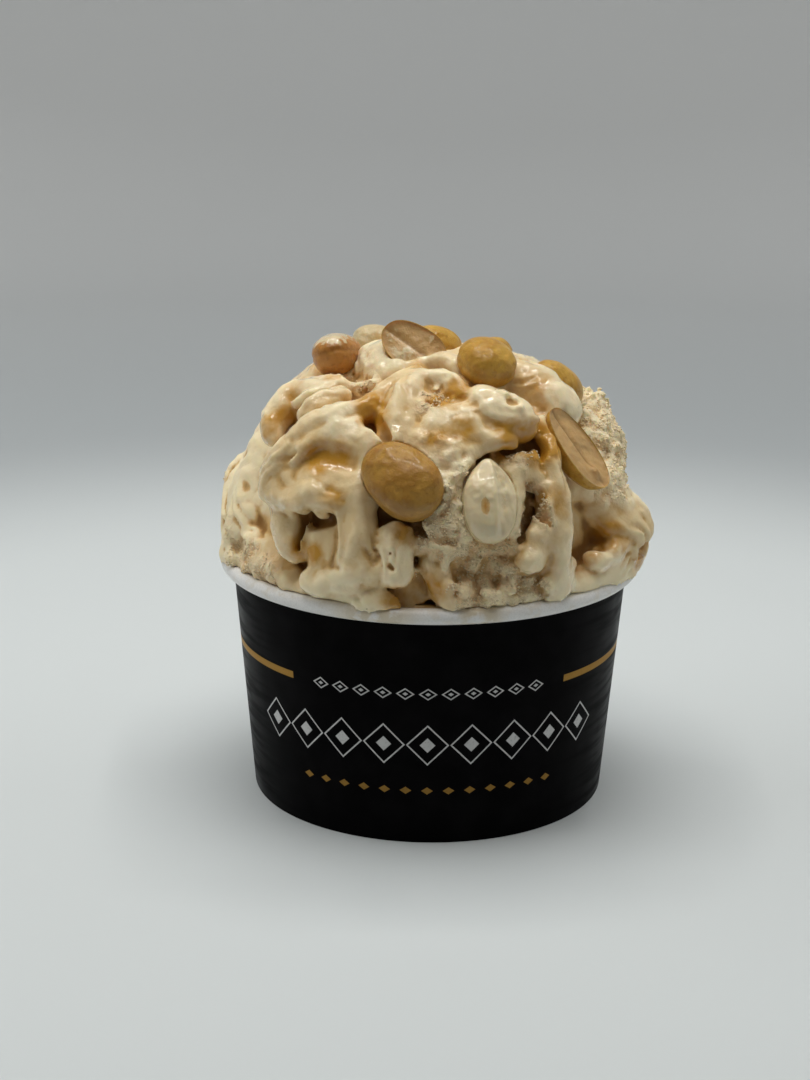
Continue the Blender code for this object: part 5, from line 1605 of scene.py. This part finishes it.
@dataclass
class IceGrains:
    """Small grains of ice and peanut meal that stand on the torn places."""

    density: float = 3.6
    least: float = 0.10
    most: float = 0.40
    seed: int = 5

    def build(self, gelato: bpy.types.Object) -> bpy.types.Object:
        """Scatter the grains with a node group.

        Args:
            gelato: the piece that they stand on.

        Returns:
            The piece.
        """
        material = Crumb().make()
        recipe = Recipe("ice_grains", {
            "Grains per square millimetre": ("NodeSocketFloat", self.density),
            "Least radius": ("NodeSocketFloat", self.least * MM),
            "Most radius": ("NodeSocketFloat", self.most * MM),
            "Seed": ("NodeSocketInt", self.seed),
        })
        rough = self.named(recipe, "rough")
        skin = self.named(recipe, "skin")
        clumps = recipe.node("ShaderNodeTexNoise", None, {"Scale": 1.0 / (1.8 * MM), "Detail": 1.0})
        share = (rough * (1.0 - skin)).ramp(0.45, 0.95) * clumps.ramp(0.42, 0.60)
        share = share * (1.0 - self.named(recipe, "shade"))
        density = recipe.input("Grains per square millimetre") * (1.0 / (MM * MM)) * share
        points = recipe.node(
            "GeometryNodeDistributePointsOnFaces", {"distribute_method": "RANDOM"},
            {"Mesh": recipe.given, "Density": density, "Seed": recipe.input("Seed")}, output="Points",
        )
        random, vectors = "FunctionNodeRandomValue", {"data_type": "FLOAT_VECTOR"}
        size = recipe.node(random, vectors, {
            0: recipe.input("Least radius"), 1: recipe.input("Most radius"), "Seed": recipe.input("Seed"),
        })
        turned = recipe.node(random, vectors, {
            0: (0.0, 0.0, 0.0), 1: (math.tau, math.tau, math.tau), "Seed": recipe.input("Seed"),
        })
        ball = {"Radius": 1.0, "Subdivisions": 1}
        grain = recipe.node("GeometryNodeMeshIcoSphere", None, ball, output="Mesh")
        placed = recipe.node(
            "GeometryNodeInstanceOnPoints", None,
            {"Points": points, "Instance": grain, "Rotation": turned, "Scale": size},
        )
        real = recipe.node("GeometryNodeRealizeInstances", None, {"Geometry": placed})
        painted = recipe.node("GeometryNodeSetMaterial", None, {"Geometry": real, "Material": material})
        recipe.finished(painted)
        made = recipe.run("ice_grains", gelato.data)
        made.data.shade_smooth()
        return settle(made, None)

    @staticmethod
    def named(recipe: Recipe, name: str) -> Signal:
        """Return a value that the mesh carries by name."""
        return recipe.node("GeometryNodeInputNamedAttribute", {"data_type": "FLOAT"}, {"Name": name})


# The peanuts

SKINS = {
    "wheat": PeanutSkin("wheat", (0.58, 0.335, 0.055), (0.40, 0.180, 0.018)),
    "toast": PeanutSkin("toast", (0.45, 0.240, 0.042), (0.31, 0.128, 0.016)),
    "brown": PeanutSkin("brown", (0.54, 0.255, 0.060), (0.33, 0.125, 0.022)),
    "pale": PeanutSkin("pale", (0.72, 0.60, 0.36), (0.58, 0.42, 0.20)),
    "cream": PeanutSkin("cream", (0.74, 0.56, 0.29), (0.82, 0.38, 0.05), mark=0.95),
}

WHOLE, HALF = Kernel.WHOLE, Kernel.HALF

PEANUTS = (
    PeanutPlace("peanut_front", -8, 33, 2.2, (0.73, -0.44, -0.52), (-0.12, -0.83, 0.54), 17.6, 13.2, 9.6,
                WHOLE, "toast", 0.0),
    PeanutPlace("peanut_top_left", -80, 65, 2.8, (0.35, 0.90, -0.25), (-0.3, 0.1, 0.95), 13.5, 9.4, 9.0,
                WHOLE, "brown", 0.62),
    PeanutPlace("peanut_half_top", -18, 75.5, 4.4, (0.80, -0.25, -0.50), (0.05, -0.84, 0.50), 14.4, 9.9, 5.2,
                HALF, "wheat", 0.62),
    PeanutPlace("peanut_behind_half", 165, 87, 1.4, (0.80, 0.35, -0.35), (0.1, 0.2, 0.97), 11.6, 9.0, 8.4,
                WHOLE, "wheat", 0.0),
    PeanutPlace("peanut_round", 31, 65, 4.8, (0.45, -0.82, -0.35), (0.2, -0.3, 0.93), 12.4, 11.4, 8.8,
                WHOLE, "wheat", 0.0),
    PeanutPlace("peanut_rear_right", 72, 55, 1.2, (0.60, 0.50, -0.62), (0.4, -0.1, 0.9), 13.0, 9.4, 8.6,
                WHOLE, "wheat", 0.0),
    PeanutPlace("peanut_half_right", 49, 37, 3.6, (0.58, -0.24, -0.78), (0.70, -0.54, 0.52), 18.6, 9.8, 5.2,
                HALF, "wheat", 0.0),
    PeanutPlace("peanut_coated", 16, 28, 2.4, (0.05, -0.44, -0.90), (0.25, -0.85, 0.45), 16.5, 10.8, 7.5,
                WHOLE, "cream", 0.75),
    PeanutPlace("peanut_pale", -140, 68, 1.2, (0.8, 0.3, -0.3), (-0.2, 0.1, 0.97), 13.0, 9.0, 8.0,
                WHOLE, "pale", 0.3),
    PeanutPlace("peanut_back_high", 160, 47, 2.4, (0.7, 0.5, 0.3), (0.1, 0.6, 0.8), 15.0, 10.0, 8.6,
                WHOLE, "wheat", 0.2),
    PeanutPlace("peanut_back_low", -158, 34, 2.0, (0.6, -0.2, 0.75), (-0.3, 0.85, 0.45), 16.0, 10.6, 8.8,
                WHOLE, "wheat", 0.0),
)


def peanut_matrix(place: PeanutPlace, mound: Mound) -> Matrix:
    """Return the matrix that places a peanut: its length along X and its face, or top, along Z.

    Args:
        place: the peanut.
        mound: the mound it lies on.

    Returns:
        The matrix, in millimetres.
    """
    long_axis = Vector(place.long_axis).normalized()
    face_axis = Vector(place.face_axis)
    face_axis = (face_axis - long_axis * face_axis.dot(long_axis)).normalized()
    side_axis = face_axis.cross(long_axis)
    matrix = Matrix((long_axis, side_axis, face_axis)).transposed().to_4x4()
    matrix.translation = Vector(mound.spot(place.azimuth, place.elevation, place.lift))
    return matrix


@dataclass
class Peanuts:
    """The roasted kernels on the gelato."""

    mound: Mound
    segments: int = 72
    rings: int = 44
    groove: float = 0.05
    hollow: float = 0.05
    squareness: float = 2.2
    dent: float = 0.02
    blunt: float = 0.07
    dents_apart: float = 1.7
    finishes: Dict[str, bpy.types.Material] = field(default_factory=dict)

    def kernel_point(self, point: Vector, place: PeanutPlace, seed: float) -> Tuple[Vector, Dict[str, float]]:
        """Shape one point of a kernel.

        Args:
            point: a point of the unit sphere.
            place: the peanut.
            seed: a number that makes its dents its own.

        Returns:
            Where the point lies, and how it is coloured.
        """
        swell = sum(abs(part) ** self.squareness for part in point) ** (-1.0 / self.squareness)
        x, y, z = point * swell
        blunt = 1.0 + self.blunt * x
        cleft = math.exp(-(z / 0.12) ** 2)
        ripple = math.sin(5.1 * x + seed) * math.sin(4.3 * y + 2.0 * seed) + math.sin(7.7 * z + seed)
        size = 1.0 - 0.5 * abs(self.dent * ripple)
        at = Vector((
            0.5 * place.length * x * size,
            0.5 * place.width * y * blunt * (1.0 - self.groove * cleft) * size,
            0.5 * place.thickness * z * blunt * size,
        ))
        if place.skin == "cream":
            return self.coated(at, (x, y, z), place)
        if place.kernel is Kernel.HALF:
            return self.halved(at, (x, y, z), place, blunt * size)
        return at, {"inner": 0.0, "groove": 0.5 * cleft, "smear": place.smear * (0.5 + 0.5 * z)}

    @staticmethod
    def coated(at: Vector, unit: Triple, place: PeanutPlace) -> Tuple[Vector, Dict[str, float]]:
        """Draw a coated kernel's point to a tip at one end, with a crest and a lower, lumpy flank.

        Args:
            at: the plain kernel's point.
            unit: the same point on the unit kernel.
            place: the peanut.

        Returns:
            Where the point lies, and how it is coloured.
        """
        x, y, z = unit
        above = max(0.0, z)
        flank = min(1.0, max(0.0, (y - 0.06) / 0.25)) * above
        tapered = 1.0 - 0.42 * max(0.0, -x) ** 2.5
        crest = 0.10 * math.exp(-((y - 0.04) / 0.14) ** 2) * above
        lumps = 0.025 * flank * (math.sin(13.0 * x + 5.0 * y) + math.sin(21.0 * y - 9.0 * x))
        at.y *= tapered
        at.z = at.z * (1.0 - 0.26 * flank) * tapered + place.thickness * (0.5 * crest + 0.5 * lumps)
        stain = math.exp(-((x - 0.20) / 0.20) ** 2 - ((y + 0.34) / 0.12) ** 2)
        smear = place.smear * (1.0 - 0.25 * flank) * (1.0 - stain)
        return at, {"inner": 0.0, "groove": stain, "smear": smear}

    def halved(
        self, at: Vector, unit: Triple, place: PeanutPlace, size: float
    ) -> Tuple[Vector, Dict[str, float]]:
        """Sink the face of half a kernel, with the channel along it and the germ at its end.

        Args:
            at: the plain kernel's point.
            unit: the same point on the unit kernel.
            place: the peanut.
            size: how far the kernel swells here.

        Returns:
            Where the point lies, and how it is coloured.
        """
        x, y, z = unit
        if z <= 1e-6:
            at.z = place.thickness * z * size
            return at, {"inner": 0.0, "groove": 0.0, "smear": 0.0}
        fall = min(1.0, 1.6 * z)
        channel = 0.03 * place.width * math.exp(-(y / 0.10) ** 2) * fall
        germ = 0.12 * place.width * math.exp(-((x - 0.62) ** 2 + y ** 2) / 0.03) * min(1.0, 2.0 * z)
        at.z = germ - self.hollow * place.width * fall - channel
        return at, {
            "inner": min(1.0, 3.0 * z),
            "groove": math.exp(-(y / 0.06) ** 2) * fall * (1.0 if x < 0.5 else 0.3),
            "smear": place.smear * (1.0 if x < 0.35 else 0.55) * fall,
        }

    def build_one(self, place: PeanutPlace, seed: float) -> bpy.types.Object:
        """Make one peanut.

        Args:
            place: the peanut.
            seed: a number that makes its dents its own.

        Returns:
            The piece.
        """
        name = place.name.replace("peanut", "kernel")
        mesh = bpy.data.meshes.new(name)
        shape = bmesh.new()
        turn = Matrix.Rotation(math.radians(90.0), 3, "Y")
        bmesh.ops.create_uvsphere(shape, u_segments=self.segments, v_segments=self.rings, radius=1.0)
        matrix = peanut_matrix(place, self.mound)
        rows: Dict[str, List[float]] = {"inner": [], "groove": [], "smear": []}
        for vertex in shape.verts:
            spot, marks = self.kernel_point(turn @ vertex.co, place, seed)
            vertex.co = (matrix @ spot) * MM
            for key, value in marks.items():
                rows[key].append(value)
        bmesh.ops.recalc_face_normals(shape, faces=shape.faces)
        shape.to_mesh(mesh)
        shape.free()
        for key, row in rows.items():
            attribute = mesh.attributes.new(key, "FLOAT", "POINT")
            attribute.data.foreach_set("value", np.array(row, dtype=np.float32))
        mesh.shade_smooth()
        if place.skin not in self.finishes:
            self.finishes[place.skin] = SKINS[place.skin].make()
        mesh.materials.append(self.finishes[place.skin])
        return settle(link(name, mesh), place.name)

    def build(self) -> None:
        """Make every peanut."""
        for number, place in enumerate(PEANUTS):
            self.build_one(place, self.dents_apart * number)


# The studio


@dataclass
class Studio:
    """A pale round sweep with the cup in its middle, lamps above it and the camera."""

    floor_radius: float = 0.62
    sweep_radius: float = 0.25
    wall_height: float = 1.3
    segments: int = 96
    lamp_height: float = 0.52
    lamp_side: float = 0.30
    lamp_width: float = 0.016
    lamp_power: float = 1.30
    ceiling_side: float = 0.34
    ceiling_power: float = 0.90
    side_distance: float = 0.56
    side_power: float = 0.50
    back_power: float = 0.35
    lens: float = 69.92
    sensor: float = 36.0
    pitch: float = 0.2821
    yaw: float = -0.0124
    roll: float = 0.0085
    camera_place: Triple = (0.0, -0.4242, 0.1753)
    side_size: Tuple[float, float] = (0.7, 0.5)
    side_height: float = 0.42
    aim_height: float = 0.06
    glossy_below: float = 0.1
    warm: Triple = (1.0, 0.985, 0.955)
    cool: Triple = (0.97, 0.99, 1.0)
    room: Triple = (0.95, 0.98, 1.0)
    room_strength: float = 0.03

    def sheet(self) -> None:
        """Lay the round floor and sweep its edge up into a wall."""
        profile = [(radius, 0.0) for radius in (0.05, 0.2, 0.4, self.floor_radius)]
        for angle in np.radians(np.linspace(5.0, 90.0, 18)):
            profile.append((
                self.floor_radius + self.sweep_radius * math.sin(angle),
                self.sweep_radius * (1.0 - math.cos(angle)),
            ))
        profile.append((self.floor_radius + self.sweep_radius, self.wall_height))
        shape = bmesh.new()
        rings = []
        turns = np.arange(self.segments) * math.tau / self.segments
        for radius, height in profile:
            ring = [(radius * math.cos(turn), radius * math.sin(turn), height) for turn in turns]
            rings.append([shape.verts.new(spot) for spot in ring])
        shape.faces.new(rings[0])
        for inner, outer in zip(rings, rings[1:]):
            for place in range(self.segments):
                after = (place + 1) % self.segments
                shape.faces.new((inner[place], outer[place], outer[after], inner[after]))
        mesh = bpy.data.meshes.new("studio_sheet")
        shape.to_mesh(mesh)
        shape.free()
        mesh.shade_smooth()
        mesh.materials.append(Backdrop().make())
        link("studio_sheet", mesh)

    def lamp(
        self, name: str, spot: Triple, size: Tuple[float, float], power: float, colour: Triple
    ) -> bpy.types.Object:
        """Hang a rectangular lamp that shines down. Only a narrow one shows in what is glossy.

        Args:
            name: the lamp's name.
            spot: where its middle is.
            size: its two sides.
            power: its power in watts.
            colour: its colour.

        Returns:
            The lamp.
        """
        light = bpy.data.lights.new(name, "AREA")
        light.shape = "RECTANGLE"
        light.size, light.size_y = size
        light.energy = power
        light.color = colour
        made = link(name, light)
        made.location = spot
        made.visible_glossy = min(size) < self.glossy_below
        return made

    def side_lamp(self, name: str, azimuth: float, power: float) -> None:
        """Stand a large dim lamp beside the cup, as a white wall of the photo box.

        Args:
            name: the lamp's name.
            azimuth: where it stands round the cup, in degrees.
            power: its power in watts.
        """
        around = math.radians(azimuth)
        away = self.side_distance
        spot = (away * math.sin(around), -away * math.cos(around), self.side_height)
        made = self.lamp(name, spot, self.side_size, power, self.cool)
        ahead = Vector((0.0, 0.0, self.aim_height)) - made.location
        made.rotation_euler = ahead.to_track_quat("-Z", "Y").to_euler()

    def lights(self) -> None:
        """Hang the square of strip lamps and the dim ceiling, and stand the dim side walls."""
        half = 0.5 * self.lamp_side
        wide, deep = (self.lamp_side, self.lamp_width), (self.lamp_width, self.lamp_side)
        for name, x, y, size in (
            ("strip_front", 0.0, -half, wide), ("strip_back", 0.0, half, wide),
            ("strip_left", -half, 0.0, deep), ("strip_right", half, 0.0, deep),
        ):
            self.lamp(name, (x, y, self.lamp_height), size, 0.25 * self.lamp_power, self.warm)
        above = (0.0, 0.02, self.lamp_height + 0.05)
        self.lamp("ceiling", above, (self.ceiling_side,) * 2, self.ceiling_power, (0.98, 0.99, 1.0))
        self.side_lamp("side_left", -95.0, 2.8 * self.side_power)
        self.side_lamp("side_right", 100.0, 1.3 * self.side_power)
        self.side_lamp("side_back", 180.0, self.back_power)
        world = bpy.data.worlds.new("room")
        world.use_nodes = True
        background = world.node_tree.nodes["Background"]
        background.inputs["Color"].default_value = (*self.room, 1.0)
        background.inputs["Strength"].default_value = self.room_strength
        bpy.context.scene.world = world

    def camera(self) -> None:
        """Set the camera where the photograph was taken from."""
        data = bpy.data.cameras.new("camera")
        data.lens = self.lens
        data.sensor_width = self.sensor
        data.clip_start, data.clip_end = 0.02, 20.0
        made = link("camera", data)
        sine, cosine = math.sin(self.yaw), math.cos(self.yaw)
        ahead = Vector((sine * math.cos(self.pitch), cosine * math.cos(self.pitch), -math.sin(self.pitch)))
        level = Vector((cosine, -sine, 0.0))
        upright = level.cross(ahead)
        right = level * math.cos(self.roll) + upright * math.sin(self.roll)
        up = upright * math.cos(self.roll) - level * math.sin(self.roll)
        matrix = Matrix((right, up, -ahead)).transposed().to_4x4()
        matrix.translation = Vector(self.camera_place)
        made.matrix_world = matrix
        bpy.context.scene.camera = made

    def build(self) -> None:
        """Set up the whole studio."""
        self.sheet()
        self.lights()
        self.camera()
        bpy.context.scene.view_settings.view_transform = "Standard"
        LOG.info("studio ready")


def main() -> None:
    """Build every piece in order."""
    logging.basicConfig(level=logging.INFO, format="%(name)s: %(message)s")
    Studio().build()
    cup, mound = Cup(), Mound()
    cup.build()
    gelato = GelatoMound(mound, cup).build(PEANUTS)
    IceGrains().build(gelato)
    Peanuts(mound).build()


if __name__ == "__main__":
    main()
